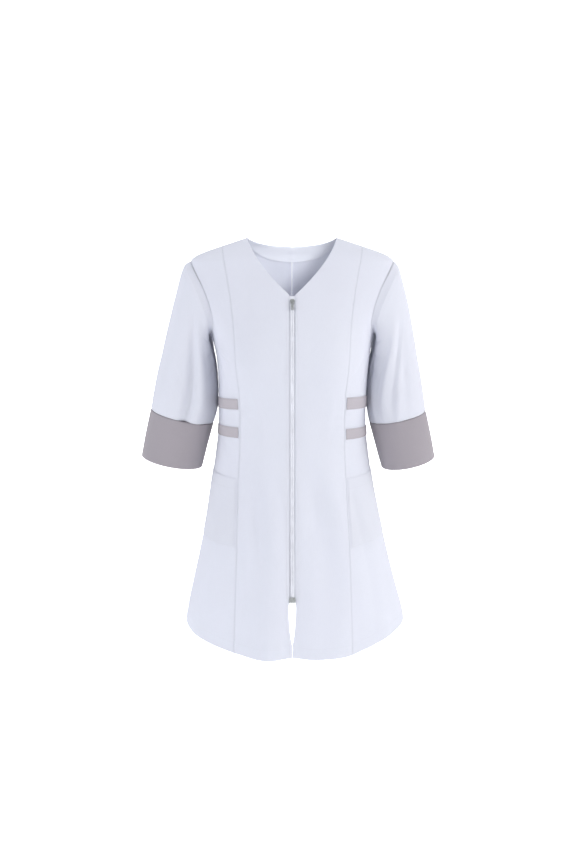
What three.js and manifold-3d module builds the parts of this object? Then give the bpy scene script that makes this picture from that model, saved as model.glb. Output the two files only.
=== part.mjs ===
// Nurse uniform dress: zip front, elbow sleeves with grey cuffs, worn form, hollow.
// Millimetres. +Z is up, the front faces -Y and the wearer's left is +X.
// The origin is midway between the two points where the shoulder seams meet the neckline.

import * as THREE from 'three';
import { mergeVertices } from 'three/addons/utils/BufferGeometryUtils.js';
import Module from 'manifold-3d';

// Driving sizes
const CLOTH = 1.6; // wall of the body and sleeves
const CUFF_CLOTH = 2.2; // the cuff band is doubled
const TRIM_CLOTH = 1.2; // tabs, pockets, facing
const TAPE_CLOTH = 1.0;
const SEAM_INSET = 0.2; // each edge stands back this far from its seam line
const LAY_GAP = 0.45; // between a panel and what lies on it
const NECK_HALF = 90; // half the neck opening at the shoulder seams
const NECK_DEPTH = 108; // front neckline below the shoulder seams
const PRINCESS_TOP_Z = -17;
const SHOULDER_TIP_Z = -47;
const UNDERARM_Z = -195;
const HEM = { front: -805.5, right: -789, left: -786, back: -794, sideEnds: 30, middleStarts: 65 };
const ZIP = { top: -110, bottom: -697, halfGap: 6, chainHalf: 3.6, tapeHalf: 15, sliderZ: -119, boxZ: -692 };
// The facing inside the back neck; topRow and lastColumn are places in the back panel's rows and columns.
const FACING = { depth: 40, topRow: 0.06, rows: 6, lastColumn: 4.9 };

// Rows and columns of the cloth grids
const ARMHOLE_STEPS = 10; // from the underarm to the shoulder tip, front or back
const SKIRT_STEPS = 17; // from the underarm to the hem
const NECK_COLUMNS = 7; // half the front neckline
const BACK_NECK_COLUMNS = 5; // half the back neckline
const SHOULDER_COLUMNS = 3; // neck to princess seam
const SIDE_COLUMNS = 6; // princess seam to shoulder tip

// Body sections: half widths to the wearer's right and left, depth to front and back, roundness
const BODY_SECTIONS = [
  { z: 0, right: 90, left: 90, front: 14, back: 18, round: 2.1 },
  { z: -7, right: 112, left: 112, front: 22, back: 34, round: 2.15 },
  { z: -17, right: 141, left: 141, front: 34, back: 51, round: 2.2 },
  { z: -30, right: 178, left: 178, front: 47, back: 63, round: 2.2 },
  { z: -38, right: 195, left: 195, front: 54, back: 69, round: 2.2 },
  { z: -47, right: 204, left: 204, front: 60, back: 74, round: 2.2 },
  { z: -66, right: 205, left: 205, front: 70, back: 82, round: 2.2 },
  { z: -104, right: 201, left: 201, front: 91, back: 94, round: 2.2 },
  { z: -140, right: 190, left: 190, front: 106, back: 102, round: 2.2 },
  { z: -175, right: 171, left: 171, front: 118, back: 107, round: 2.25 },
  { z: -195, right: 163, left: 163, front: 123, back: 108, round: 2.3 },
  { z: -245, right: 152, left: 152, front: 129, back: 104, round: 2.35 },
  { z: -300, right: 149, left: 149, front: 120, back: 96, round: 2.3 },
  { z: -372, right: 149, left: 149, front: 107, back: 90, round: 2.2 },
  { z: -438, right: 155.5, left: 155.5, front: 109, back: 99, round: 2.2 },
  { z: -507, right: 166, left: 166.5, front: 117, back: 114, round: 2.15 },
  { z: -573, right: 176, left: 180, front: 126, back: 126, round: 2.1 },
  { z: -638, right: 188.5, left: 194.5, front: 138, back: 138, round: 2.05 },
  { z: -704, right: 203, left: 211, front: 151, back: 149, round: 2 },
  { z: -770, right: 216.5, left: 228.5, front: 164, back: 160, round: 1.95 },
  { z: -812, right: 222, left: 235, front: 172, back: 166, round: 1.93 },
];

// Princess seam: distance from the centre line, down from the shoulder
const PRINCESS_SEAM = [
  { z: -17, x: 141 },
  { z: -72, x: 129 },
  { z: -120, x: 120 },
  { z: -178, x: 112 },
  { z: -250, x: 106 },
  { z: -316, x: 102 },
  { z: -390, x: 102 },
  { z: -480, x: 106 },
  { z: -560, x: 108 },
  { z: -647, x: 111 },
  { z: -812, x: 116 },
];

// Half the opening between the two fronts: the zip, then the slit below it that closes to the hem
const FRONT_OPENING = [
  { z: -100, half: 6 },
  { z: -697, half: 6 },
  { z: -706, half: 7 },
  { z: -745, half: 5.6 },
  { z: -780, half: 2 },
  { z: -792, half: 0.8 },
  { z: -812, half: 0.8 },
];

// Soft folds: angle round the body in degrees (left side 0, front 90, right side 180, back 270),
// half width in degrees, depth at its deepest, where it starts and is full, and lean in degrees per metre
const BODY_FOLDS = [
  { angle: 105, width: 10, depth: 8, start: -430, full: -790, lean: 0 },
  { angle: 90, width: 8, depth: -6, start: -520, full: -790, lean: 0 },
  { angle: 71, width: 10, depth: 6, start: -440, full: -790, lean: 0 },
  { angle: 57, width: 6, depth: -5, start: -500, full: -780, lean: -10 },
  { angle: 40, width: 10, depth: 5, start: -470, full: -790, lean: 0 },
  { angle: 124, width: 8, depth: -6, start: -480, full: -780, lean: 8 },
  { angle: 146, width: 11, depth: 6, start: -450, full: -790, lean: 0 },
  { angle: 207, width: 10, depth: 6, start: -430, full: -790, lean: 0 },
  { angle: 226, width: 9, depth: -7, start: -420, full: -780, lean: 6 },
  { angle: 249, width: 11, depth: 9, start: -400, full: -790, lean: 0 },
  { angle: 270, width: 9, depth: -8, start: -430, full: -790, lean: 0 },
  { angle: 290, width: 10, depth: 8, start: -410, full: -790, lean: 0 },
  { angle: 312, width: 9, depth: -7, start: -440, full: -780, lean: -5 },
  { angle: 334, width: 11, depth: 6, start: -430, full: -790, lean: 0 },
];

// Fullness over the bust, from the shaping of the princess seams
const BUST = { z: -238, half: 62, width: 17, depth: 7, angles: [61, 119] };

// Armhole: an oval about its middle, reaching round to front and back
const ARMHOLE = { middleZ: -121, halfHeight: 74, frontReach: 34, backReach: 32, scoop: 0.08 };

// Sleeve sections from just outside the armhole to the cuff seam: outer and inner point seen
// from the front, and how far the sleeve stands to front and back of its middle
const SLEEVE_SECTIONS = {
  right: [
    { outX: 216, outZ: -54.5, inX: 169.2, inZ: -200, front: 62, back: 58 },
    { outX: 220.5, outZ: -64, inX: 168, inZ: -210, front: 63, back: 59 },
    { outX: 226, outZ: -80, inX: 165.4, inZ: -222, front: 63, back: 60 },
    { outX: 233, outZ: -107, inX: 161.8, inZ: -236, front: 63, back: 61 },
    { outX: 241, outZ: -138, inX: 158, inZ: -252, front: 62, back: 62 },
    { outX: 249, outZ: -170, inX: 155.2, inZ: -270, front: 61, back: 62 },
    { outX: 257, outZ: -203, inX: 153.6, inZ: -289, front: 60, back: 62 },
    { outX: 264.5, outZ: -236, inX: 152.8, inZ: -308, front: 60, back: 60 },
    { outX: 272, outZ: -266, inX: 153, inZ: -327, front: 60, back: 58 },
    { outX: 278, outZ: -294, inX: 155.4, inZ: -345, front: 60, back: 56 },
    { outX: 283, outZ: -321, inX: 159.4, inZ: -362, front: 59, back: 54 },
    { outX: 287.3, outZ: -347.4, inX: 164, inZ: -377.4, front: 58, back: 52 },
  ],
  left: [
    { outX: 215, outZ: -59, inX: 169.2, inZ: -200, front: 62, back: 58 },
    { outX: 219, outZ: -71, inX: 168, inZ: -210, front: 63, back: 59 },
    { outX: 224.5, outZ: -91, inX: 165.4, inZ: -222, front: 63, back: 60 },
    { outX: 231, outZ: -116, inX: 161.8, inZ: -236, front: 63, back: 61 },
    { outX: 237.5, outZ: -145, inX: 158, inZ: -252, front: 62, back: 62 },
    { outX: 243.5, outZ: -177, inX: 155.2, inZ: -270, front: 61, back: 62 },
    { outX: 249.5, outZ: -210, inX: 153.6, inZ: -289, front: 60, back: 62 },
    { outX: 255, outZ: -243, inX: 152.8, inZ: -308, front: 60, back: 60 },
    { outX: 260.5, outZ: -272, inX: 153, inZ: -327, front: 60, back: 58 },
    { outX: 265, outZ: -300, inX: 155, inZ: -345, front: 60, back: 56 },
    { outX: 269, outZ: -326, inX: 157.4, inZ: -361, front: 59, back: 54 },
    { outX: 272.3, outZ: -351.4, inX: 160, inZ: -376, front: 58, back: 52 },
  ],
};

// Sleeve folds: angle round the sleeve in degrees (outer 0, front 90, inner 180), half width,
// depth, where along the sleeve it starts, peaks and ends from 0 to 1, and turn over its length
const SLEEVE_FOLDS = {
  right: [
    { angle: 101, width: 12, depth: -4, start: 0.45, peak: 0.9, end: 1.4, turn: 6 },
    { angle: 122, width: 11, depth: 3, start: 0.5, peak: 0.85, end: 1.3, turn: 4 },
    { angle: 62, width: 16, depth: 2.5, start: 0.35, peak: 0.7, end: 1.2, turn: -8 },
    { angle: 245, width: 14, depth: -4, start: 0.4, peak: 0.8, end: 1.3, turn: -10 },
    { angle: 285, width: 16, depth: 3, start: 0.35, peak: 0.75, end: 1.2, turn: -6 },
  ],
  left: [
    { angle: 78, width: 12, depth: 3.5, start: 0.3, peak: 0.75, end: 1.2, turn: 34 },
    { angle: 56, width: 11, depth: -3.5, start: 0.35, peak: 0.75, end: 1.2, turn: 30 },
    { angle: 132, width: 12, depth: -3, start: 0.5, peak: 0.9, end: 1.4, turn: 0 },
    { angle: 250, width: 14, depth: -4, start: 0.4, peak: 0.85, end: 1.3, turn: 8 },
    { angle: 294, width: 15, depth: 3, start: 0.3, peak: 0.7, end: 1.2, turn: 6 },
  ],
};

// Cuff bands, from the sleeve seam to the lower edge; forward is how far the middle has swung to the front
const CUFF_SECTIONS = {
  right: [
    { outX: 287.5, outZ: -348.3, inX: 164, inZ: -378.3, front: 58, back: 52, forward: 0 },
    { outX: 292, outZ: -371, inX: 169, inZ: -400, front: 57, back: 52, forward: 3 },
    { outX: 297, outZ: -395, inX: 174.3, inZ: -422.5, front: 57, back: 52, forward: 5 },
    { outX: 301.5, outZ: -419, inX: 179.7, inZ: -445, front: 56.5, back: 52, forward: 7 },
    { outX: 306, outZ: -442, inX: 185, inZ: -466.5, front: 56, back: 52, forward: 9 },
  ],
  left: [
    { outX: 272.4, outZ: -352.2, inX: 160, inZ: -376.8, front: 58, back: 52, forward: 0 },
    { outX: 277, outZ: -375, inX: 165.8, inZ: -399.5, front: 57, back: 52, forward: 3 },
    { outX: 281.5, outZ: -398, inX: 172, inZ: -422.5, front: 57, back: 52, forward: 5 },
    { outX: 286, outZ: -421, inX: 178.2, inZ: -445.5, front: 56.5, back: 52, forward: 7 },
    { outX: 290, outZ: -444, inX: 184.4, inZ: -468, front: 56, back: 52, forward: 9 },
  ],
};

// Waist tabs: top and bottom edge at the princess seam and at the side seam
const TABS = [
  { level: 'upper', side: 'right', frontTop: -311, frontBottom: -333, sideTop: -322, sideBottom: -344 },
  { level: 'lower', side: 'right', frontTop: -370, frontBottom: -391, sideTop: -377, sideBottom: -398 },
  { level: 'upper', side: 'left', frontTop: -308, frontBottom: -333, sideTop: -319, sideBottom: -343 },
  { level: 'lower', side: 'left', frontTop: -373, frontBottom: -394, sideTop: -381, sideBottom: -401 },
];

// Patch pockets on the side panels
const POCKET = { frontTop: -471, sideTop: -471, frontBottom: -604, sideBottom: -601 };
const TRIM_MARGIN = 0.035; // share of the side panel left bare at each edge of a tab or pocket
const TAB_ROWS = 2;
const POCKET_ROWS = 6;

// Colours, from the photograph
const COLOURS = {
  white: 0xeceef5,
  grey: 0xa9a3aa,
  zipWhite: 0xe6e6ef,
  metal: 0xb9bcc0,
};
const METALNESS = 0.9;
const ROUGHNESS = { white: 0.82, grey: 0.85, tape: 0.8, chain: 0.5, metal: 0.35 };

const DEG = Math.PI / 180;
const lerp = (a, b, t) => a + (b - a) * t;
const clamp = (v, low, high) => Math.min(high, Math.max(low, v));
const smoothstep = (from, to, v) => {
  const t = clamp((v - from) / (to - from), 0, 1);
  return t * t * (3 - 2 * t);
};
const range = (count) => Array.from({ length: count }, (_, i) => i);

// A smooth value from a table, by cubic steps with no overshoot
function read(table, along, column, at) {
  const flipped = table[0][along] > table[table.length - 1][along];
  const rows = flipped ? [...table].reverse() : table;
  const last = rows.length - 1;
  const x = clamp(at, rows[0][along], rows[last][along]);
  let i = 0;
  while (i < last - 1 && x > rows[i + 1][along]) i += 1;
  const slope = (k) => (rows[k + 1][column] - rows[k][column]) / (rows[k + 1][along] - rows[k][along]);
  const tangent = (k) => {
    if (k === 0) return slope(0);
    if (k === last) return slope(last - 1);
    const before = slope(k - 1);
    const after = slope(k);
    return before * after <= 0 ? 0 : (2 * before * after) / (before + after);
  };
  const step = rows[i + 1][along] - rows[i][along];
  const t = (x - rows[i][along]) / step;
  const rise = rows[i + 1][column] - rows[i][column];
  const m0 = tangent(i) * step;
  const m1 = tangent(i + 1) * step;
  return rows[i][column] + m0 * t + (3 * rise - 2 * m0 - m1) * t * t + (m0 + m1 - 2 * rise) * t * t * t;
}

// Body form

function section(z) {
  const at = (column) => read(BODY_SECTIONS, 'z', column, z);
  return { right: at('right'), left: at('left'), front: at('front'), back: at('back'), round: at('round') };
}

// Zero on the body's surface, positive outside it
function bodyField(x, y, z) {
  const s = section(z);
  const half = x < 0 ? s.right : s.left;
  const depth = y < 0 ? s.front : s.back;
  return Math.abs(x / half) ** s.round + Math.abs(y / depth) ** s.round - 1;
}

function bodyNormal(p) {
  const h = 0.5;
  return new THREE.Vector3(
    bodyField(p.x + h, p.y, p.z) - bodyField(p.x - h, p.y, p.z),
    bodyField(p.x, p.y + h, p.z) - bodyField(p.x, p.y - h, p.z),
    bodyField(p.x, p.y, p.z + h) - bodyField(p.x, p.y, p.z - h),
  ).normalize();
}

function foldDepth(angle, z) {
  const turned = ((angle % 360) + 360) % 360;
  let depth = 0;
  for (const fold of BODY_FOLDS) {
    const middle = fold.angle + (fold.lean * (z - fold.full)) / 1000;
    const share = smoothstep(fold.start, fold.full, z);
    depth += fold.depth * share * Math.exp(-(((turned - middle) / fold.width) ** 2));
  }
  for (const middle of BUST.angles) {
    const across = (turned - middle) / BUST.width;
    const down = (z - BUST.z) / BUST.half;
    depth += BUST.depth * Math.exp(-across * across - down * down);
  }
  return depth;
}

// A point on the middle of the cloth with its outward direction; angle runs round the body in degrees
function bodyPoint(angle, z) {
  const s = section(z);
  const c = Math.cos(angle * DEG);
  const n = Math.sin(angle * DEG);
  const half = c < 0 ? s.right : s.left;
  const depth = n < 0 ? s.back : s.front;
  const x = half * Math.sign(c) * Math.abs(c) ** (2 / s.round);
  const y = -depth * Math.sign(n) * Math.abs(n) ** (2 / s.round);
  const flat = new THREE.Vector3(x, y, z);
  const out = bodyNormal(flat);
  const point = flat.clone().addScaledVector(out, foldDepth(angle, z));
  return { point, out };
}

// The angle, from the side, at which the body is this far from the centre line
function angleAt(x, z, side) {
  const s = section(z);
  const half = side === 'right' ? s.right : s.left;
  return Math.acos(clamp(x / half, 0, 1) ** (s.round / 2)) / DEG;
}

// Turns an angle counted from a side seam into the angle round the body
function roundBody(side, facing, angle) {
  const front = facing === 'front' ? angle : -angle;
  return side === 'right' ? 180 - front : front;
}

// Seam lines

// Rows climb from the underarm at 0 to the shoulder at 1
const rowShares = range(ARMHOLE_STEPS + 1).map((i) => i / ARMHOLE_STEPS);

function princessZ(share) {
  return UNDERARM_Z + (PRINCESS_TOP_Z - UNDERARM_Z) * Math.sin((share * Math.PI) / 2);
}

function princess(z, side) {
  const x = read(PRINCESS_SEAM, 'z', 'x', z);
  return { x, angle: angleAt(x, z, side) };
}

function armhole(share, facing) {
  const turn = Math.PI * (1 - share);
  const reach = facing === 'front' ? ARMHOLE.frontReach : ARMHOLE.backReach;
  return {
    z: ARMHOLE.middleZ + ARMHOLE.halfHeight * Math.cos(turn),
    angle: reach * (Math.sin(turn) - ARMHOLE.scoop * Math.sin(2 * turn)),
  };
}

// Heights along the shoulder seam, from the neck to the princess seam and on to the tip
const shoulderZ = [
  ...range(SHOULDER_COLUMNS).map((i) => lerp(0, PRINCESS_TOP_Z, i / SHOULDER_COLUMNS)),
  ...range(SIDE_COLUMNS + 1).map((i) => lerp(PRINCESS_TOP_Z, SHOULDER_TIP_Z, i / SIDE_COLUMNS)),
];

function shoulderPoint(k, side) {
  const z = shoulderZ[k];
  return { x: section(z)[side], z };
}

function curve(points, t) {
  const line = new THREE.QuadraticBezierCurve(...points.map(([x, z]) => new THREE.Vector2(x, z)));
  const p = line.getPoint(t);
  return { x: p.x, z: p.y };
}

const frontNeck = (t) => curve([[ZIP.halfGap, -NECK_DEPTH], [72, -50], [NECK_HALF, 0]], t);
const backNeck = (t) => curve([[0, -20], [70, -19], [NECK_HALF, 0]], t);

// Skirt rows fall from the underarm at 0 to the hem at 1
const skirtShares = range(SKIRT_STEPS + 1).map((i) => i / SKIRT_STEPS);

// The hem's height at an angle from the side seam
function hemZ(side, facing, fromSide) {
  return lerp(HEM[side], HEM[facing], smoothstep(HEM.sideEnds, HEM.middleStarts, fromSide));
}

// The princess line on a skirt row
function skirtSeam(side, facing, share) {
  const hemAngle = princess(lerp(UNDERARM_Z, HEM[facing], share), side).angle;
  const z = lerp(UNDERARM_Z, hemZ(side, facing, hemAngle), share);
  return { ...princess(z, side), z, hemAngle };
}

// A blend of four edges: columns run across at u, rows run along at w
function blendEdges(u, w, edges) {
  const mix = (key) => {
    const across = lerp(edges.start(w)[key], edges.end(w)[key], u);
    const along = lerp(edges.foot(u)[key], edges.head(u)[key], w);
    const footLine = lerp(edges.foot(0)[key], edges.foot(1)[key], u);
    const headLine = lerp(edges.head(0)[key], edges.head(1)[key], u);
    return across + along - lerp(footLine, headLine, w);
  };
  return { x: mix('x'), z: mix('z') };
}

// Walls

// A copy of a grid with its outermost points stepped back from the seam lines
function trimEdges(nominal, inset = SEAM_INSET) {
  const grid = nominal.map((row) => row.map(({ point, out }) => ({ point: point.clone(), out })));
  const rows = grid.length - 1;
  const columns = grid[0].length - 1;
  const pull = (cell, toward) => {
    const step = toward.point.clone().sub(cell.point);
    return step.setLength(Math.min(inset, step.length() / 3));
  };
  const moves = [];
  for (const i of range(rows + 1)) {
    moves.push([grid[i][0], pull(grid[i][0], grid[i][1])]);
    moves.push([grid[i][columns], pull(grid[i][columns], grid[i][columns - 1])]);
  }
  for (const j of range(columns + 1)) {
    moves.push([grid[0][j], pull(grid[0][j], grid[1][j])]);
    moves.push([grid[rows][j], pull(grid[rows][j], grid[rows - 1][j])]);
  }
  for (const [cell, step] of moves) cell.point.add(step);
  return grid;
}

function faceOutward(geometry) {
  const index = geometry.index.array;
  const position = geometry.attributes.position;
  const corner = (k) => new THREE.Vector3().fromBufferAttribute(position, index[k]);
  let volume = 0;
  for (let k = 0; k < index.length; k += 3) {
    volume += corner(k).dot(corner(k + 1).cross(corner(k + 2)));
  }
  if (volume < 0) {
    for (let k = 0; k < index.length; k += 3) {
      [index[k], index[k + 1]] = [index[k + 1], index[k]];
    }
  }
  return geometry;
}

// A closed wall from a grid of points and outward directions, from one lift to another.
// Each cell is split along its shorter diagonal, and a tube joins its last column to its first.
function wall(grid, fromLift, toLift, tube = false) {
  const rows = grid.length;
  const columns = grid[0].length;
  const positions = [];
  for (const lift of [toLift, fromLift]) {
    for (const row of grid) {
      for (const cell of row) {
        positions.push(...cell.point.clone().addScaledVector(cell.out, lift).toArray());
      }
    }
  }
  const outer = (i, j) => i * columns + (j % columns);
  const inner = (i, j) => rows * columns + outer(i, j);
  const index = [];
  const quad = (a, b, c, d) => index.push(a, b, c, a, c, d);
  const across = (i, j, k, l) => grid[i][j % columns].point.distanceTo(grid[k][l % columns].point);
  const spans = tube ? columns : columns - 1;
  for (const i of range(rows - 1)) {
    for (const j of range(spans)) {
      const outside = [outer(i, j), outer(i, j + 1), outer(i + 1, j + 1), outer(i + 1, j)];
      const inside = [inner(i + 1, j), inner(i + 1, j + 1), inner(i, j + 1), inner(i, j)];
      if (across(i, j, i + 1, j + 1) > across(i, j + 1, i + 1, j)) outside.push(outside.shift());
      else inside.push(inside.shift());
      quad(...outside);
      quad(...inside);
    }
  }
  const last = rows - 1;
  for (const j of range(spans)) {
    quad(outer(0, j), inner(0, j), inner(0, j + 1), outer(0, j + 1));
    quad(outer(last, j), outer(last, j + 1), inner(last, j + 1), inner(last, j));
  }
  if (!tube) {
    const end = columns - 1;
    for (const i of range(rows - 1)) {
      quad(outer(i, 0), outer(i + 1, 0), inner(i + 1, 0), inner(i, 0));
      quad(outer(i, end), inner(i, end), inner(i + 1, end), outer(i + 1, end));
    }
  }
  const geometry = new THREE.BufferGeometry();
  geometry.setAttribute('position', new THREE.Float32BufferAttribute(positions, 3));
  geometry.setIndex(index);
  return faceOutward(geometry);
}

const cloth = (grid, thickness, tube = false) => wall(grid, -thickness / 2, thickness / 2, tube);

const dress = new THREE.Group();

function add(name, geometry, colour, roughness, metalness = 0) {
  geometry.computeVertexNormals();
  const material = new THREE.MeshStandardMaterial({ color: colour, roughness, metalness });
  const mesh = new THREE.Mesh(geometry, material);
  mesh.name = name;
  dress.add(mesh);
  return mesh;
}

// Panels

// The cloth between the centre line and the princess line, from the neck to the hem
function centreGrid(side, facing, neck, neckColumns, halfOpening) {
  const columns = neckColumns + SHOULDER_COLUMNS;
  const neckFoot = neck(0);
  const edges = {
    start: (w) => ({ x: neckFoot.x, z: lerp(UNDERARM_Z, neckFoot.z, w) }),
    end: (w) => ({ x: princess(princessZ(w), side).x, z: princessZ(w) }),
    foot: (u) => ({ x: lerp(neckFoot.x, princess(UNDERARM_Z, side).x, u), z: UNDERARM_Z }),
    head: (u) => {
      const column = Math.round(u * columns);
      if (column <= neckColumns) return neck(column / neckColumns);
      return shoulderPoint(column - neckColumns, side);
    },
  };
  const place = ({ x, z }) => bodyPoint(roundBody(side, facing, angleAt(x, z, side)), z);
  const chest = rowShares.map((w) => range(columns + 1).map((j) => place(blendEdges(j / columns, w, edges))));
  const skirt = skirtShares.slice(1).map((share) => {
    const middleZ = lerp(UNDERARM_Z, HEM[facing], share);
    const seam = skirtSeam(side, facing, share);
    return range(columns + 1).map((j) => {
      const u = j / columns;
      return place({ x: lerp(halfOpening(middleZ), seam.x, u), z: lerp(middleZ, seam.z, u) });
    });
  });
  return [...chest.reverse(), ...skirt];
}

// The cloth between the princess line and the armhole and side seam
function sideGrid(side, facing) {
  const chest = rowShares.map((w) => {
    const seamZ = princessZ(w);
    const seamAngle = w === 1 ? 0 : princess(seamZ, side).angle;
    const hole = armhole(w, facing);
    return range(SIDE_COLUMNS + 1).map((j) => {
      const u = j / SIDE_COLUMNS;
      return bodyPoint(roundBody(side, facing, lerp(seamAngle, hole.angle, u)), lerp(seamZ, hole.z, u));
    });
  });
  const skirt = skirtShares.slice(1).map((share) => {
    const seam = skirtSeam(side, facing, share);
    return range(SIDE_COLUMNS + 1).map((j) => {
      const rest = 1 - j / SIDE_COLUMNS;
      const z = lerp(UNDERARM_Z, hemZ(side, facing, seam.hemAngle * rest), share);
      return bodyPoint(roundBody(side, facing, seam.angle * rest), z);
    });
  });
  return [...chest.reverse(), ...skirt];
}

const frontCentreGrid = (side) => (
  centreGrid(side, 'front', frontNeck, NECK_COLUMNS, (z) => read(FRONT_OPENING, 'z', 'half', z))
);

// A back panel is one piece, with no princess seam
function backGrid(side) {
  const middle = centreGrid(side, 'back', backNeck, BACK_NECK_COLUMNS, () => 0);
  const outer = sideGrid(side, 'back');
  return middle.map((row, i) => [...row, ...outer[i].slice(1)]);
}

const frontCentre = { right: frontCentreGrid('right'), left: frontCentreGrid('left') };
const frontSide = { right: sideGrid('right', 'front'), left: sideGrid('left', 'front') };
const back = { right: backGrid('right'), left: backGrid('left') };

for (const side of ['right', 'left']) {
  add(`front_centre_${side}`, cloth(trimEdges(frontCentre[side]), CLOTH), COLOURS.white, ROUGHNESS.white);
  add(`front_side_${side}`, cloth(trimEdges(frontSide[side]), CLOTH), COLOURS.white, ROUGHNESS.white);
  add(`back_${side}`, cloth(trimEdges(back[side]), CLOTH), COLOURS.white, ROUGHNESS.white);
}

// Sleeves and cuffs

const sleeveTurns = range(2 * ARMHOLE_STEPS).map((j) => (j * 180) / ARMHOLE_STEPS);

// The armhole line at a turn round the sleeve: shoulder 0, front 90, underarm 180, back 270
function armholePoint(side, turn) {
  const facing = turn <= 180 ? 'front' : 'back';
  const share = turn <= 180 ? 1 - turn / 180 : turn / 180 - 1;
  const hole = armhole(share, facing);
  return bodyPoint(roundBody(side, facing, hole.angle), hole.z);
}

function ringPoint(row, side, turn) {
  const sign = side === 'right' ? -1 : 1;
  const c = Math.cos(turn * DEG);
  const n = Math.sin(turn * DEG);
  const x = sign * ((row.outX + row.inX) / 2 + ((row.outX - row.inX) / 2) * c);
  const z = (row.outZ + row.inZ) / 2 + ((row.outZ - row.inZ) / 2) * c;
  const y = -(row.forward ?? 0) - (n > 0 ? row.front : row.back) * n;
  return new THREE.Vector3(x, y, z);
}

function sleeveFold(side, turn, share) {
  let depth = 0;
  for (const fold of SLEEVE_FOLDS[side]) {
    const middle = fold.angle + fold.turn * (share - fold.start);
    const rise = smoothstep(fold.start, fold.peak, share);
    const fall = 1 - smoothstep(fold.peak, fold.end, share);
    depth += fold.depth * rise * fall * Math.exp(-(((turn - middle) / fold.width) ** 2));
  }
  return depth;
}

// Outward directions of a tube, from its neighbours along and around
function tubeDirections(points) {
  const last = points.length - 1;
  const columns = points[0].length;
  return points.map((row, i) => row.map((point, j) => {
    const along = points[Math.min(i + 1, last)][j].clone().sub(points[Math.max(i - 1, 0)][j]);
    const around = row[(j + 1) % columns].clone().sub(row[(j + columns - 1) % columns]);
    return along.cross(around).normalize();
  }));
}

function tubeGrid(points, side) {
  const sign = side === 'right' ? 1 : -1;
  const directions = tubeDirections(points);
  return points.map((row, i) => row.map((point, j) => ({ point, out: directions[i][j].multiplyScalar(sign) })));
}

const ARMHOLE_FADE = 6; // sleeve sections over which the armhole's own line fades out
const ROLL_ROWS = 3; // rows from the seam to the first section, where the sleeve rolls over the seam
const ROLL_RISE = 8; // how far the cloth runs on past the seam before it turns
const SHOULDER_SLOPE = { x: 0.9, z: -0.43 }; // the way the shoulder seam runs on into the sleeve

// The plain oval nearest to the armhole line
const ARMHOLE_OVAL = { outX: 204, outZ: SHOULDER_TIP_Z, inX: 163, inZ: UNDERARM_Z, front: 58, back: 54 };

// The seam at a turn round the sleeve, with the way that the body's cloth would run on past it (onward)
// and the way that the sleeve sets off, which follows the shoulder seam at the head (bend)
function armholeSeam(side, turn) {
  const cell = armholePoint(side, turn);
  const before = armholePoint(side, (turn + 359) % 360).point;
  const after = armholePoint(side, (turn + 1) % 360).point;
  const onward = after.sub(before).cross(cell.out).normalize();
  const middle = ringPoint(ARMHOLE_OVAL, side, 90).setY(0);
  if (onward.dot(middle.sub(cell.point)) < 0) onward.negate();
  const sign = side === 'right' ? -1 : 1;
  const slope = new THREE.Vector3(sign * SHOULDER_SLOPE.x, 0, SHOULDER_SLOPE.z);
  const headShare = clamp(Math.cos(turn * DEG), 0, 1) ** 2;
  const bend = onward.clone().lerp(slope, headShare).normalize();
  return { ...cell, onward, bend };
}

function sleeveGrid(side) {
  const sections = SLEEVE_SECTIONS[side];
  const seams = sleeveTurns.map((turn) => armholeSeam(side, turn));
  const lower = sections.map((row, i) => sleeveTurns.map((turn, j) => {
    const offOval = seams[j].point.clone().sub(ringPoint(ARMHOLE_OVAL, side, turn));
    const keep = clamp(1 - (i + 1) / ARMHOLE_FADE, 0, 1) ** 1.4;
    return ringPoint(row, side, turn).addScaledVector(offOval, keep);
  }));
  const roll = range(ROLL_ROWS).map((i) => sleeveTurns.map((turn, j) => {
    const start = seams[j].point.clone().addScaledVector(seams[j].onward, 2 * SEAM_INSET);
    const turning = start.clone().addScaledVector(seams[j].bend, ROLL_RISE);
    return new THREE.QuadraticBezierCurve3(start, turning, lower[0][j]).getPoint(i / ROLL_ROWS);
  }));
  const grid = tubeGrid([...roll, ...lower], side);
  const last = grid.length - 1;
  grid.forEach((row, i) => row.forEach((cell, j) => {
    cell.point.addScaledVector(cell.out, sleeveFold(side, sleeveTurns[j], i / last));
  }));
  grid[0].forEach((cell, j) => cell.out.copy(seams[j].out));
  return grid;
}

function cuffGrid(side) {
  const points = CUFF_SECTIONS[side].map((row) => sleeveTurns.map((turn) => ringPoint(row, side, turn)));
  const grid = tubeGrid(points, side);
  grid[0].forEach((cell, j) => cell.point.addScaledVector(cell.out, sleeveFold(side, sleeveTurns[j], 1)));
  return grid;
}

for (const side of ['right', 'left']) {
  add(`sleeve_${side}`, cloth(sleeveGrid(side), CLOTH, true), COLOURS.white, ROUGHNESS.white);
  add(`cuff_${side}`, cloth(cuffGrid(side), CUFF_CLOTH, true), COLOURS.grey, ROUGHNESS.grey);
}

// Pieces that lie on a panel are made from its points

// A cell part way between the rows and columns of a panel's grid, or a little past its edge
function onPanel(grid, row, column) {
  const i = clamp(Math.floor(row), 0, grid.length - 2);
  const j = clamp(Math.floor(column), 0, grid[0].length - 2);
  const mix = (key) => {
    const upper = grid[i][j][key].clone().lerp(grid[i][j + 1][key], column - j);
    const lower = grid[i + 1][j][key].clone().lerp(grid[i + 1][j + 1][key], column - j);
    return upper.lerp(lower, row - i);
  };
  return { point: mix('point'), out: mix('out').normalize() };
}

// The row, part way between two, where a panel's column passes a height
function rowAtHeight(grid, column, z) {
  const height = (row) => onPanel(grid, row, column).point.z;
  let i = 0;
  while (i < grid.length - 2 && height(i + 1) > z) i += 1;
  return i + (height(i) - z) / (height(i) - height(i + 1));
}

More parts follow.
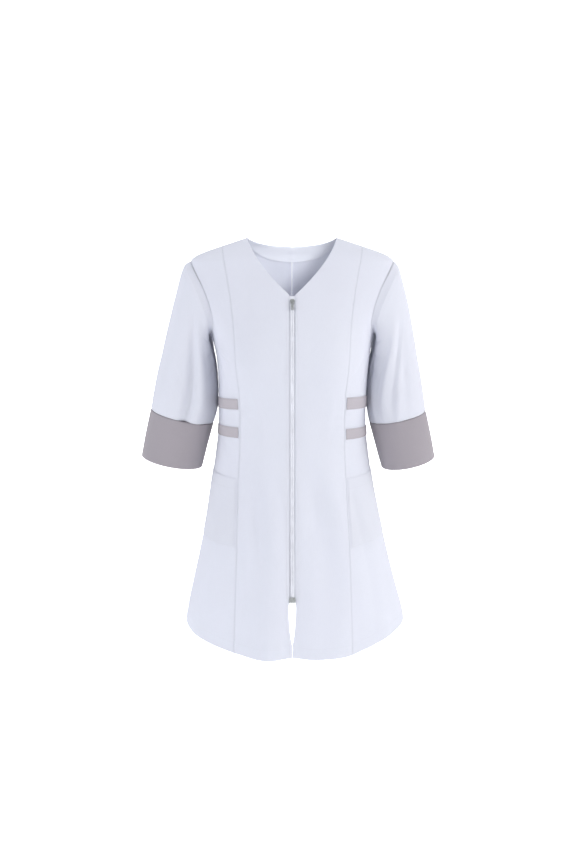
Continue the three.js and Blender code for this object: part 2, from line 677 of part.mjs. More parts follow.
// The row that is a length down a panel's column from its top
function rowAtLength(grid, column, length) {
  const at = (row) => onPanel(grid, row, column).point;
  let i = 0;
  let left = length;
  while (i < grid.length - 2 && at(i).distanceTo(at(i + 1)) < left) {
    left -= at(i).distanceTo(at(i + 1));
    i += 1;
  }
  return i + left / at(i).distanceTo(at(i + 1));
}

// Rows for a piece between two rows of its panel: its own two ends, and the panel rows between them.
// A piece of two rows stays within the panel row that its top lies on.
function rowsBetween(top, bottom, count) {
  const first = Math.floor(top) + 1;
  const between = range(count - 2).map((i) => first + i);
  return [top, ...between, Math.min(bottom, first + count - 2)];
}

const outsideFoot = CLOTH / 2 + LAY_GAP;
const insideTop = -(CLOTH / 2 + LAY_GAP);

// Back neck facing, inside the back panels

function facingGrid() {
  const half = (side, i) => range(BACK_NECK_COLUMNS + 1).map((j) => {
    const column = Math.min(j, FACING.lastColumn);
    const bottom = rowAtLength(back[side], column, FACING.depth);
    return onPanel(back[side], lerp(FACING.topRow, bottom, i / (FACING.rows - 1)), column);
  });
  return range(FACING.rows).map((i) => [...half('right', i).reverse(), ...half('left', i).slice(1)]);
}

add('back_neck_facing', wall(facingGrid(), insideTop - TRIM_CLOTH, insideTop), COLOURS.white, ROUGHNESS.white);

// Waist tabs and pockets, laid on the side panels

function layOnSide(side, piece, rows) {
  const grid = frontSide[side];
  const lay = range(SIDE_COLUMNS + 1).map((j) => {
    const column = clamp(j, SIDE_COLUMNS * TRIM_MARGIN, SIDE_COLUMNS * (1 - TRIM_MARGIN));
    const across = column / SIDE_COLUMNS;
    const top = rowAtHeight(grid, column, lerp(piece.frontTop, piece.sideTop, across));
    const bottom = rowAtHeight(grid, column, lerp(piece.frontBottom, piece.sideBottom, across));
    return rowsBetween(top, bottom, rows).map((row) => onPanel(grid, row, column));
  });
  return range(rows).map((i) => lay.map((column) => column[i]));
}

for (const tab of TABS) {
  const geometry = wall(layOnSide(tab.side, tab, TAB_ROWS), outsideFoot, outsideFoot + TRIM_CLOTH);
  add(`waist_tab_${tab.level}_${tab.side}`, geometry, COLOURS.grey, ROUGHNESS.grey);
}

for (const side of ['right', 'left']) {
  const geometry = wall(layOnSide(side, POCKET, POCKET_ROWS), outsideFoot, outsideFoot + TRIM_CLOTH);
  add(`pocket_${side}`, geometry, COLOURS.white, ROUGHNESS.white);
}

// Zip, along the centre front

// A point at a distance from the centre line, on the line of a front panel or just past its edge
function onFront(side, row, distance) {
  const edge = Math.abs(onPanel(frontCentre[side], row, 0).point.x);
  const next = Math.abs(onPanel(frontCentre[side], row, 1).point.x);
  return onPanel(frontCentre[side], row, (distance - edge) / (next - edge));
}

const zipTopRow = rowAtHeight(frontCentre.left, 0, ZIP.top);
const zipBottomRow = rowAtHeight(frontCentre.left, 0, ZIP.bottom);

const ROW_APART = 0.2; // a panel row nearer than this to the zip's end is left out

function zipRows(top, bottom) {
  const between = range(frontCentre.left.length).filter((i) => i > top + ROW_APART && i < bottom - ROW_APART);
  return [top, ...between, bottom];
}

function tapeGrid(side) {
  const distances = [SEAM_INSET, ZIP.halfGap, ZIP.tapeHalf];
  const rows = zipRows(zipTopRow, zipBottomRow);
  return rows.map((row) => distances.map((distance) => onFront(side, row, distance)));
}

for (const side of ['right', 'left']) {
  const geometry = wall(tapeGrid(side), insideTop - TAPE_CLOTH, insideTop);
  add(`zip_tape_${side}`, geometry, COLOURS.zipWhite, ROUGHNESS.tape);
}

const CHAIN_RISE = 1.2; // the chain stands this far out from the middle of the cloth

// The middle of the zip on a row
function onZip(row) {
  const right = onFront('right', row, ZIP.chainHalf);
  const left = onFront('left', row, ZIP.chainHalf);
  const point = right.point.clone().lerp(left.point, 0.5);
  const out = right.out.clone().lerp(left.out, 0.5).normalize();
  return { right, left, point, out };
}

// Slider: a crowned block at the head of the chain, with a bridge that carries the pull tab.
// Heights are along the zip from the slider's middle, lifts are outward from the cloth's middle.
const SLIDER = { topHalf: 4.4, footHalf: 3.4, halfHeight: 5, foot: -0.75, face: 2.6 };
const BRIDGE = { half: 0.8, halfLength: 4.8, post: 1.2, under: 2.6, top: 4.4, outside: 5.4 };
const PULL = {
  half: 2.8, eyeHalf: 1.5, bar: 0.6, eyeEnd: -7, foot: -17, holeRadius: 1.3, holeAt: -13.6,
  lift: 3, thickness: 1,
};
const BOX = { half: 6.6, halfHeight: 5, corner: 2.2, lift: 2.1, thickness: 2.2 };

const chainTopRow = rowAtHeight(frontCentre.left, 0, ZIP.sliderZ - SLIDER.halfHeight - LAY_GAP);
const chainGrid = zipRows(chainTopRow, zipBottomRow).map((row) => {
  const { right, left, point, out } = onZip(row);
  return [right, { point, out }, left];
});
add('zip_chain', wall(chainGrid, insideTop + LAY_GAP, CHAIN_RISE), COLOURS.zipWhite, ROUGHNESS.chain);

const wasm = await Module();
wasm.setup();

function toSolid(geometry) {
  const bare = geometry.clone();
  bare.deleteAttribute('normal');
  bare.deleteAttribute('uv');
  const merged = mergeVertices(bare, 1e-4);
  const vertProperties = new Float32Array(merged.attributes.position.array);
  const triVerts = new Uint32Array(merged.index.array);
  return new wasm.Manifold(new wasm.Mesh({ numProp: 3, vertProperties, triVerts }));
}

function fromSolid(solid) {
  const mesh = solid.getMesh();
  const geometry = new THREE.BufferGeometry();
  geometry.setAttribute('position', new THREE.BufferAttribute(new Float32Array(mesh.vertProperties), 3));
  geometry.setIndex(new THREE.BufferAttribute(new Uint32Array(mesh.triVerts), 1));
  return geometry;
}

const extrude = (shape, depth) => new THREE.ExtrudeGeometry(shape, { depth, bevelEnabled: false, curveSegments: 6 });

function roundedRect(path, left, bottom, right, top, corner) {
  path.moveTo(left + corner, bottom);
  path.lineTo(right - corner, bottom);
  path.quadraticCurveTo(right, bottom, right, bottom + corner);
  path.lineTo(right, top - corner);
  path.quadraticCurveTo(right, top, right - corner, top);
  path.lineTo(left + corner, top);
  path.quadraticCurveTo(left, top, left, top - corner);
  path.lineTo(left, bottom + corner);
  path.quadraticCurveTo(left, bottom, left + corner, bottom);
  return path;
}

// Stands a part that was drawn flat on the zip: its own x across, y up the zip and z outward
function standOnZip(mesh, z) {
  const { point, out } = onZip(rowAtHeight(frontCentre.left, 0, z));
  const across = new THREE.Vector3(1, 0, 0);
  const up = out.clone().cross(across).normalize();
  const facing = across.clone().cross(up);
  mesh.position.copy(point.setX(0));
  mesh.quaternion.setFromRotationMatrix(new THREE.Matrix4().makeBasis(across, up, facing));
}

function sliderGeometry() {
  const { topHalf, footHalf, halfHeight, foot, face } = SLIDER;
  const crown = new THREE.Shape();
  crown.moveTo(-footHalf, -halfHeight);
  crown.lineTo(footHalf, -halfHeight);
  crown.quadraticCurveTo(footHalf, 0, topHalf, halfHeight * 0.4);
  crown.quadraticCurveTo(topHalf, halfHeight, 0, halfHeight);
  crown.quadraticCurveTo(-topHalf, halfHeight, -topHalf, halfHeight * 0.4);
  crown.quadraticCurveTo(-footHalf, 0, -footHalf, -halfHeight);
  const block = extrude(crown, face - foot).translate(0, 0, foot);

  const { half, halfLength, post, under, top, outside } = BRIDGE;
  const root = 0.3; // the bridge runs this far into the block
  const profile = roundedRect(new THREE.Shape(), under - root, -halfLength, outside, halfLength, 0.25);
  const inner = halfLength - post;
  profile.holes.push(roundedRect(new THREE.Path(), under, -inner, top, inner, 0.4));
  const bridge = extrude(profile, 2 * half).translate(0, 0, -half).rotateY(-Math.PI / 2).scale(-1, 1, 1);
  return fromSolid(toSolid(block).add(toSolid(faceOutward(indexed(bridge)))));
}

function indexed(geometry) {
  geometry.deleteAttribute('normal');
  geometry.deleteAttribute('uv');
  return mergeVertices(geometry, 1e-4);
}

function pullGeometry() {
  const { half, eyeHalf, bar, eyeEnd, foot, holeRadius, holeAt, thickness } = PULL;
  const plate = roundedRect(new THREE.Shape(), -half, foot, half, bar, 1.2);
  plate.holes.push(roundedRect(new THREE.Path(), -eyeHalf, eyeEnd, eyeHalf, -bar, 0.6));
  plate.holes.push(new THREE.Path().absarc(0, holeAt, holeRadius, 0, 2 * Math.PI));
  return extrude(plate, thickness);
}

const addMetal = (name, geometry) => add(name, geometry, COLOURS.metal, ROUGHNESS.metal, METALNESS);
standOnZip(addMetal('zip_slider', sliderGeometry()), ZIP.sliderZ);
standOnZip(addMetal('zip_pull', pullGeometry().translate(0, 0, PULL.lift)), ZIP.sliderZ);

const boxOutline = roundedRect(new THREE.Shape(), -BOX.half, -BOX.halfHeight, BOX.half, BOX.halfHeight, BOX.corner);
const boxGeometry = extrude(boxOutline, BOX.thickness).translate(0, 0, BOX.lift);
standOnZip(addMetal('zip_box', boxGeometry), ZIP.boxZ);

export default dress;
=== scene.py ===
import math
import bmesh
import bpy
import numpy as np
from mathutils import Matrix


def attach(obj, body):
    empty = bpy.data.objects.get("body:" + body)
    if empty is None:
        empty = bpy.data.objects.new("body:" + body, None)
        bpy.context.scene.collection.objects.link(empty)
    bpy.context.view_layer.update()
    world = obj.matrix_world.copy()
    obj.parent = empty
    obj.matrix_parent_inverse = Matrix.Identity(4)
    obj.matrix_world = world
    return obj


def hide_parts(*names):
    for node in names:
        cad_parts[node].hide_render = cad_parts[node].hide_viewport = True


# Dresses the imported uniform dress: cloth shells with their creases and sewing, zip teeth and metal.
# Shapes are worked out in millimetres and made in metres. Left side +X, front -Y, up +Z.

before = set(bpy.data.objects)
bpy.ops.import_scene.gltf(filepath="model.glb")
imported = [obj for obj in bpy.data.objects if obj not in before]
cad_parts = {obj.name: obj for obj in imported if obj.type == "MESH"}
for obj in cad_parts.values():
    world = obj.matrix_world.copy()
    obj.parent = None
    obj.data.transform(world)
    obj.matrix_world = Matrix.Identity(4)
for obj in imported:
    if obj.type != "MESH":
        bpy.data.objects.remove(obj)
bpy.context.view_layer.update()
fine = 2  # grid density
print("frame loaded")

# Camera, floor and light

studio = {
    "camera": (-0.0082, -1.859, 0.036), "tilt": 4.49, "focalPixels": 919, "risePixels": 140, "sensor": 36,
    "floorZ": -1.3, "floorHalf": 5.0, "wallY": 3.2, "wallBend": 1.2, "wallHigh": 6, "bendSteps": 24,
    "floorColour": (0.93, 0.935, 0.95), "floorRough": 0.95,
    "world": (0.95, 0.97, 1.0), "worldStrength": 0.42, "worldSeen": 1.0,
    "floorGlow": 0.28, "floorSeen": 0.8,
}
imageHigh = 864  # pixels in the photograph's frame, from top to bottom

lights = [
    # name, place, aimed at, width, power, colour
    ("key", (2.45, -1.45, 0.95), (0, 0, -0.25), 2.0, 50, (1.0, 0.99, 0.98)),
    ("fill", (-2.2, -2.1, 1.0), (0, 0, -0.25), 2.2, 34, (0.97, 0.98, 1.0)),
    ("side", (-2.7, -0.9, 0.5), (0, 0, -0.25), 1.9, 20, (0.97, 0.98, 1.0)),
    ("rim", (2.9, -0.3, 0.3), (0, 0, -0.3), 1.4, 13, (1.0, 0.99, 0.98)),
    ("top", (0.2, 0.5, 2.3), (0, 0, -0.4), 1.6, 12, (1.0, 1.0, 1.0)),
    ("neck", (0.75, -2.1, 0.47), (0, 0.02, -0.08), 0.6, 36, (0.98, 0.99, 1.0)),
]
neckPieces = ("backPanel_right", "backPanel_left", "backNeckFacing")  # all that the neck lamp lights


# Turns an object so that its own -Z points at the target.
def aimed(obj, target):
    away = np.array(target) - np.array(obj.location)
    across = math.hypot(away[0], away[1])
    obj.rotation_euler = (math.pi / 2 + math.atan2(away[2], across), 0, math.atan2(-away[0], away[1]))


# The camera with its lens shift, the lamps and the surroundings.
def makeStudio():
    camera = bpy.data.objects.new("camera", bpy.data.cameras.new("camera"))
    bpy.context.scene.collection.objects.link(camera)
    camera.location = studio["camera"]
    camera.rotation_euler = (math.radians(90 - studio["tilt"]), 0, 0)
    camera.data.sensor_width = studio["sensor"]
    camera.data.lens = studio["sensor"] * studio["focalPixels"] / imageHigh
    camera.data.shift_y = -studio["risePixels"] / imageHigh
    bpy.context.scene.camera = camera
    for name, place, target, width, power, colour in lights:
        lamp = bpy.data.lights.new(name, "AREA")
        lamp.shape, lamp.size, lamp.energy, lamp.color = "DISK", width, power, colour
        obj = bpy.data.objects.new(name, lamp)
        bpy.context.scene.collection.objects.link(obj)
        obj.location = place
        aimed(obj, target)
        if name == "neck":
            lit = bpy.data.collections.new("neckPieces")
            obj.light_linking.receiver_collection = lit
    world = bpy.data.worlds.new("studio")
    world.use_nodes = True
    sky = world.node_tree
    sky.nodes["Background"].inputs["Color"].default_value = (*studio["world"], 1)
    # The surroundings light the dress softly but show as plain white
    toCamera = node(sky, "LightPath").outputs["Is Camera Ray"]
    seen = maths(sky, "MULTIPLY_ADD", toCamera, studio["worldSeen"], studio["worldStrength"])
    sky.links.new(seen, sky.nodes["Background"].inputs["Strength"])
    bpy.context.scene.world = world
    bpy.context.scene.view_settings.view_transform = "Standard"


# Node groups and materials


# A shader node group with named sockets: each is (name, kind, value).
def newGroup(name, inputs, outputs):
    group = bpy.data.node_groups.new(name, "ShaderNodeTree")
    for title, kind, value in inputs:
        made = group.interface.new_socket(title, in_out="INPUT", socket_type="NodeSocket" + kind)
        if value is not None:
            made.default_value = value
    for title, kind in outputs:
        group.interface.new_socket(title, in_out="OUTPUT", socket_type="NodeSocket" + kind)
    return group, group.nodes.new("NodeGroupInput"), group.nodes.new("NodeGroupOutput")


# A node with its settings, and its input sockets linked or filled by name or by number.
def node(tree, kind, settings=None, **values):
    made = tree.nodes.new("ShaderNode" + kind)
    for key, value in (settings or {}).items():
        setattr(made, key, value)
    for key, value in values.items():
        byNumber = key[0] == "i" and key[1:].isdigit()
        socket = made.inputs[int(key[1:]) if byNumber else key.replace("_", " ")]
        if isinstance(value, bpy.types.NodeSocket):
            tree.links.new(value, socket)
        else:
            socket.default_value = value
    return made


# The output of one Math node.
def maths(tree, operation, first, second=0.0, third=0.0):
    return node(tree, "Math", {"operation": operation}, i0=first, i1=second, i2=third).outputs[0]


# A colour between two others.
def mixed(tree, factor, first, second):
    made = node(tree, "Mix", {"data_type": "RGBA"}, i0=factor, i6=first, i7=second)
    return made.outputs[2]


# Plain weave: Height is high where sin(warp) and sin(weft) have one sign, with uneven threads
# from noise drawn out along each, and Fleck is the threads' own unevenness.
def makeWeave():
    group, given, result = newGroup(
        "plainWeave",
        [("Vector", "Vector", None), ("Thread", "Float", 0.0006), ("Slub", "Float", 0.35)],
        [("Height", "Float"), ("Fleck", "Float")],
    )
    apart = node(group, "SeparateXYZ", Vector=given.outputs["Vector"])
    turn = maths(group, "DIVIDE", math.pi, given.outputs["Thread"])
    warp = maths(group, "SINE", maths(group, "MULTIPLY", apart.outputs["X"], turn))
    weft = maths(group, "SINE", maths(group, "MULTIPLY", apart.outputs["Y"], turn))
    check = maths(group, "MULTIPLY_ADD", maths(group, "MULTIPLY", warp, weft), 0.5, 0.5)
    slubs = []
    for stretch in ((1800, 60, 1), (60, 1800, 1)):
        drawn = node(group, "VectorMath", {"operation": "MULTIPLY"}, i0=given.outputs["Vector"], i1=stretch)
        slubs.append(node(group, "TexNoise", Vector=drawn.outputs[0], Scale=1.0, Detail=2.0).outputs["Fac"])
    fleck = maths(group, "MULTIPLY", maths(group, "ADD", slubs[0], slubs[1]), 0.5)
    height = maths(group, "MULTIPLY_ADD", fleck, given.outputs["Slub"], check)
    group.links.new(height, result.inputs["Height"])
    group.links.new(fleck, result.inputs["Fleck"])
    return group


# Slow drifts of tone over the cloth, from two sizes of noise on Object coordinates.
def makeTone():
    group, given, result = newGroup(
        "slowTone",
        [("Vector", "Vector", None), ("Broad", "Float", 3.0), ("Close", "Float", 14.0)],
        [("Broad Tone", "Float"), ("Close Tone", "Float")],
    )
    for size, output in (("Broad", "Broad Tone"), ("Close", "Close Tone")):
        place, scale = given.outputs["Vector"], given.outputs[size]
        noise = node(group, "TexNoise", Vector=place, Scale=scale, Detail=2.0)
        ramp = node(group, "MapRange", {"interpolation_type": "SMOOTHSTEP"},
                    Value=noise.outputs["Fac"], From_Min=0.35, From_Max=0.65)
        group.links.new(ramp.outputs["Result"], result.inputs[output])
    return group


# Brushed metal: fine lines from noise drawn out along one axis, with a few scratches.
def makeBrushed():
    group, given, result = newGroup(
        "brushedLines",
        [("Vector", "Vector", None), ("Lines", "Float", 900.0)],
        [("Height", "Float"), ("Wear", "Float")],
    )
    place = given.outputs["Vector"]
    drawn = node(group, "VectorMath", {"operation": "MULTIPLY"}, i0=place, i1=(3, 0.6, 0.6))
    lines = node(group, "TexNoise", Vector=drawn.outputs[0], Scale=given.outputs["Lines"], Detail=3.0)
    worn = node(group, "TexNoise", Vector=place, Scale=260.0, Detail=4.0)
    wear = node(group, "MapRange", Value=worn.outputs["Fac"], From_Min=0.52, From_Max=0.7)
    group.links.new(lines.outputs["Fac"], result.inputs["Height"])
    group.links.new(wear.outputs["Result"], result.inputs["Wear"])
    return group


makeStudio()
print("studio ready")
weave, tone, brushed = makeWeave(), makeTone(), makeBrushed()


# An empty material with a Principled shader on its output.
def newMaterial(name):
    material = bpy.data.materials.new(name)
    material.use_nodes = True
    tree = material.node_tree
    tree.nodes.clear()
    shader = tree.nodes.new("ShaderNodeBsdfPrincipled")
    tree.links.new(shader.outputs[0], node(tree, "OutputMaterial").inputs["Surface"])
    return material, tree, shader


# A node group in a material, with its inputs linked or filled by name.
def placeGroup(tree, group, **values):
    made = tree.nodes.new("ShaderNodeGroup")
    made.node_tree = group
    for key, value in values.items():
        if isinstance(value, bpy.types.NodeSocket):
            tree.links.new(value, made.inputs[key])
        else:
            made.inputs[key].default_value = value
    return made


clothLook = {  # shares of the colour, roughness, and the weave's relief in metres
    "drift": 0.55, "fleck": 0.1, "height": 0.03, "lowest": 0.98, "paintedSeamShade": 0.07,
    "rough": 0.83, "roughDrift": 0.06, "sheenRough": 0.45, "specular": 0.25, "relief": 0.0002,
}


# Woven cloth: the colour drifts towards its shade, is a little lighter where the weave stands high, flecks
# with the threads and takes painted shade in the seams.
def clothMaterial(name, colour, shade, thread, bump, sheen, through):
    material, tree, shader = newMaterial(name)
    place = node(tree, "TexCoord").outputs["Object"]
    along = node(tree, "UVMap", {"uv_map": "cloth"}).outputs["UV"]
    sewn = node(tree, "Attribute", {"attribute_name": "seam"}).outputs["Fac"]
    woven = placeGroup(tree, weave, Vector=along, Thread=thread)
    drift = placeGroup(tree, tone, Vector=place)
    toShade = maths(tree, "MULTIPLY", drift.outputs["Broad Tone"], clothLook["drift"])
    base = mixed(tree, toShade, (*colour, 1), (*shade, 1))
    fleck = maths(tree, "MULTIPLY_ADD", woven.outputs["Fleck"], clothLook["fleck"], -clothLook["fleck"] / 2)
    raised = maths(tree, "MULTIPLY_ADD", woven.outputs["Height"], clothLook["height"], clothLook["lowest"])
    # Painted shade: the colour is darkened near the seams, by the seam mask
    dark = maths(tree, "SUBTRACT", maths(tree, "ADD", raised, fleck),
                 maths(tree, "MULTIPLY", sewn, clothLook["paintedSeamShade"]))
    tinted = node(tree, "VectorMath", {"operation": "SCALE"}, Vector=base, Scale=dark)
    tree.links.new(tinted.outputs[0], shader.inputs["Base Color"])
    uneven = maths(tree, "MULTIPLY_ADD", drift.outputs["Close Tone"], clothLook["roughDrift"],
                   clothLook["rough"])
    tree.links.new(uneven, shader.inputs["Roughness"])
    relief = node(tree, "Bump", Strength=bump, Distance=clothLook["relief"], Height=woven.outputs["Height"])
    tree.links.new(relief.outputs[0], shader.inputs["Normal"])
    shader.inputs["Sheen Weight"].default_value = sheen
    shader.inputs["Sheen Roughness"].default_value = clothLook["sheenRough"]
    shader.inputs["Specular IOR Level"].default_value = clothLook["specular"]
    if through:
        passed = node(tree, "BsdfTranslucent", Color=tinted.outputs[0], Normal=relief.outputs[0])
        both = node(tree, "MixShader", i0=through, i1=shader.outputs[0], i2=passed.outputs[0])
        tree.links.new(both.outputs[0], tree.get_output_node("ALL").inputs["Surface"])
    return material


metalLook = {  # share of the colour left where worn, roughness, and the lines' relief in metres
    "worn": 0.72, "rough": 0.36, "roughWorn": 0.14, "bump": 0.12, "relief": 0.00005,
}


# Brushed metal: worn lines are darker and rougher.
def metalMaterial(name, colour):
    material, tree, shader = newMaterial(name)
    place = node(tree, "TexCoord").outputs["Object"]
    lines = placeGroup(tree, brushed, Vector=place)
    base = mixed(tree, lines.outputs["Wear"], (*colour, 1), (*[metalLook["worn"] * c for c in colour], 1))
    tree.links.new(base, shader.inputs["Base Color"])
    rough = maths(tree, "MULTIPLY_ADD", lines.outputs["Wear"], metalLook["roughWorn"], metalLook["rough"])
    tree.links.new(rough, shader.inputs["Roughness"])
    relief = node(tree, "Bump", Strength=metalLook["bump"], Distance=metalLook["relief"],
                  Height=lines.outputs["Height"])
    tree.links.new(relief.outputs[0], shader.inputs["Normal"])
    shader.inputs["Metallic"].default_value = 1.0
    return material


plasticLook = {"broad": 60.0, "close": 400.0, "shade": 0.93, "rough": 0.28, "roughDrift": 0.14}


# Moulded plastic whose colour and shine drift slowly.
def plasticMaterial(name, colour):
    material, tree, shader = newMaterial(name)
    place = node(tree, "TexCoord").outputs["Object"]
    drift = placeGroup(tree, tone, Vector=place, Broad=plasticLook["broad"], Close=plasticLook["close"])
    shade = (*[plasticLook["shade"] * c for c in colour], 1)
    base = mixed(tree, drift.outputs["Broad Tone"], (*colour, 1), shade)
    tree.links.new(base, shader.inputs["Base Color"])
    rough = maths(tree, "MULTIPLY_ADD", drift.outputs["Close Tone"], plasticLook["roughDrift"],
                  plasticLook["rough"])
    tree.links.new(rough, shader.inputs["Roughness"])
    return material


threadLook = {  # the bands' scale and how uneven they are, share of the colour between them, relief
    "bands": 900.0, "uneven": 1.5, "shade": 0.86, "rough": 0.6, "roughBand": 0.1,
    "bump": 0.4, "relief": 0.0001,
}


# Twisted thread: bands from a wave across the stitch give the twist.
def threadMaterial(name, colour):
    material, tree, shader = newMaterial(name)
    place = node(tree, "TexCoord").outputs["Object"]
    twist = node(tree, "TexWave", Vector=place, Scale=threadLook["bands"], Distortion=threadLook["uneven"])
    shade = (*[threadLook["shade"] * c for c in colour], 1)
    base = mixed(tree, twist.outputs["Fac"], (*colour, 1), shade)
    tree.links.new(base, shader.inputs["Base Color"])
    rough = maths(tree, "MULTIPLY_ADD", twist.outputs["Fac"], threadLook["roughBand"], threadLook["rough"])
    tree.links.new(rough, shader.inputs["Roughness"])
    relief = node(tree, "Bump", Strength=threadLook["bump"], Distance=threadLook["relief"],
                  Height=twist.outputs["Fac"])
    tree.links.new(relief.outputs[0], shader.inputs["Normal"])
    return material


clothFinishes = {
    # name, colour, shade, thread in metres, bump, sheen, share of light let through
    "white": ("whiteUniformCloth", (0.79, 0.805, 0.875), (0.765, 0.775, 0.85), 0.0007, 0.35, 0.12, 0.22),
    # Painted light: the inside is the same white cloth, given a lighter colour so that it looks lit
    "inside": ("whiteClothInside", (0.86, 0.875, 0.94), (0.84, 0.85, 0.92), 0.0007, 0.35, 0.05, 0.22),
    # Painted light: the facing is the same white cloth, given a lighter colour so that it looks lit
    "facing": ("whiteFacingCloth", (0.90, 0.915, 0.97), (0.88, 0.90, 0.96), 0.0007, 0.35, 0.1, 0.0),
    "grey": ("greyUniformCloth", (0.455, 0.425, 0.46), (0.42, 0.395, 0.425), 0.0007, 0.45, 0.15, 0.0),
    # Painted shade: the cuffs are the grey cloth, given a darker colour so that they look shaded
    "cuff": ("greyCuffCloth", (0.345, 0.318, 0.348), (0.31, 0.287, 0.314), 0.0007, 0.45, 0.15, 0.0),
    "tape": ("zipTapeCloth", (0.80, 0.81, 0.87), (0.76, 0.77, 0.84), 0.0009, 0.6, 0.1, 0.0),
}
finish = {piece: clothMaterial(*values) for piece, values in clothFinishes.items()}
finish["teeth"] = plasticMaterial("zipTeethPlastic", (0.80, 0.81, 0.87))
finish["metal"] = metalMaterial("zipMetal", (0.60, 0.62, 0.62))
finish["thread"] = threadMaterial("whiteThread", (0.80, 0.81, 0.87))
finish["greyThread"] = threadMaterial("greyThread", (0.36, 0.33, 0.36))
print("materials ready")

# The body's form, in millimetres

cloth = {"wall": 1.1, "cuff": 1.9, "trim": 0.9, "tape": 0.8, "off": 0.45, "rim": 0.55}
sharpAngle = {"cloth": 55, "zip": 60, "metal": 38}  # degrees past which an edge is shaded sharp
neckHalf, neckDepth, princessTop, shoulderTip, underarm = 90, 108, -17, -47, -195
halfGap = 6  # from the centre line to a front's edge beside the zip
hem = {"front": -802.5, "right": -789, "left": -786, "back": -794}
# The front hem rises a little towards the opening: mm, share of the panel's width, share of the skirt
hemCorner = {"lift": 4.5, "reach": 0.25, "from": 0.8}
hemBlend = (30, 65)  # degrees from the side between which the hem drops to the front or back

bodySections = np.array([  # z, right, left, front, back, roundness
    (0, 90, 90, 14, 18, 2.1), (-7, 112, 112, 22, 34, 2.15), (-17, 141, 141, 34, 51, 2.2),
    (-30, 178, 178, 47, 63, 2.2), (-38, 195, 195, 54, 69, 2.2), (-47, 204, 204, 60, 74, 2.2),
    (-66, 205, 205, 70, 82, 2.2), (-104, 201, 201, 91, 94, 2.2), (-140, 190, 190, 106, 102, 2.2),
    (-175, 171, 171.5, 118, 107, 2.25), (-195, 163, 164.5, 123, 108, 2.3),
    (-245, 152, 156, 129, 104, 2.35), (-300, 149, 151.5, 120, 96, 2.3),
    (-372, 149, 149.5, 107, 90, 2.2), (-438, 155.5, 155.5, 109, 99, 2.2),
    (-507, 166, 166.5, 117, 114, 2.15), (-573, 176, 180, 126, 126, 2.1),
    (-638, 188.5, 194.5, 138, 138, 2.05), (-704, 203, 211, 151, 149, 2),
    (-770, 216.5, 228.5, 164, 160, 1.95), (-812, 222, 235, 172, 166, 1.93),
], float)
princessTable = np.array([
    (-17, 141), (-72, 129), (-120, 120), (-178, 112), (-250, 106), (-316, 102), (-390, 102),
    (-480, 106), (-560, 108), (-647, 111), (-812, 116),
], float)
openingTable = np.array([
    (-100, 6), (-697, 6), (-706, 7), (-742, 5.4), (-758, 3.8), (-771, 1.6), (-780, 0.12), (-812, 0.12),
], float)

# Flutes of the skirt: angle, half width, depth, where it starts and is full, lean
bodyFolds = [
    (105, 10, 8, -430, -790, 0), (90, 8, -6, -520, -790, 0), (71, 10, 6, -440, -790, 0),
    (57, 6, -5, -500, -780, -10), (40, 10, 5, -470, -790, 0), (124, 8, -6, -480, -780, 8),
    (146, 11, 6, -450, -790, 0), (207, 10, 6, -430, -790, 0), (226, 9, -7, -420, -780, 6),
    (249, 11, 9, -400, -790, 0), (270, 9, -8, -430, -790, 0), (290, 10, 8, -410, -790, 0),
    (312, 9, -7, -440, -780, -5), (334, 11, 6, -430, -790, 0),
]
crease = {  # shares of a crease's length, and the mm that a degree is worth round the body and a sleeve
    "bow": 0.06, "shoulders": 0.5, "grows": (-0.12, 0.3), "fades": (0.62, 1.12),
    "bodyDegree": 2.7, "sleeveDegree": 1.05,
}
bust = {"z": -238, "half": 62, "width": 17, "depth": 7, "angles": (61, 119)}

# Creases of the body: from one angle and height to another, half width in mm, depth in mm
bodyCreases = [
    (160, -214, 137, -262, 7, -1.5), (166, -232, 146, -300, 6, -1.1), (20, -216, 44, -268, 7, -1.4),
    (15, -236, 33, -305, 6, -1.0), (150, -330, 112, -352, 9, -1.0), (30, -333, 66, -358, 9, -0.9),
    (168, -402, 128, -430, 11, -1.1), (12, -405, 55, -438, 11, -1.2), (118, -300, 110, -420, 12, 0.9),
    (62, -290, 70, -410, 12, 0.8), (99, -180, 96, -300, 10, -0.7), (81, -176, 84, -286, 10, -0.7),
    (128, -90, 112, -170, 12, -0.8), (52, -92, 66, -176, 12, -0.7), (101, -460, 98, -640, 14, -1.1),
    (80, -470, 82, -610, 13, -0.9), (116, -560, 113, -735, 12, 1.0), (64, -575, 62, -748, 12, 1.1),
    (155, -560, 158, -735, 13, -1.2), (25, -570, 22, -740, 13, -1.1),
    (66, -440, 65, -870, 22, 6.0), (82, -430, 80, -870, 22, -5.6), (106, -470, 105, -870, 22, 4.0),
    (119, -450, 121, -860, 18, -4.2), (48, -460, 50, -860, 18, -4.0),
    (200, -215, 228, -262, 8, -1.6), (340, -214, 315, -258, 8, -1.5), (195, -240, 216, -305, 7, -1.1),
    (345, -242, 326, -308, 7, -1.0), (205, -338, 258, -352, 9, -1.5), (336, -335, 284, -356, 9, -1.4),
    (215, -366, 262, -378, 8, -1.2), (326, -368, 279, -383, 8, -1.1), (248, -395, 294, -402, 10, -1.2),
    (238, -120, 252, -205, 13, -0.9), (302, -118, 289, -200, 13, -0.8), (255, -440, 258, -640, 14, 1.1),
    (285, -450, 283, -620, 14, 1.0), (222, -500, 218, -705, 12, -1.2), (318, -490, 322, -700, 12, -1.1),
]


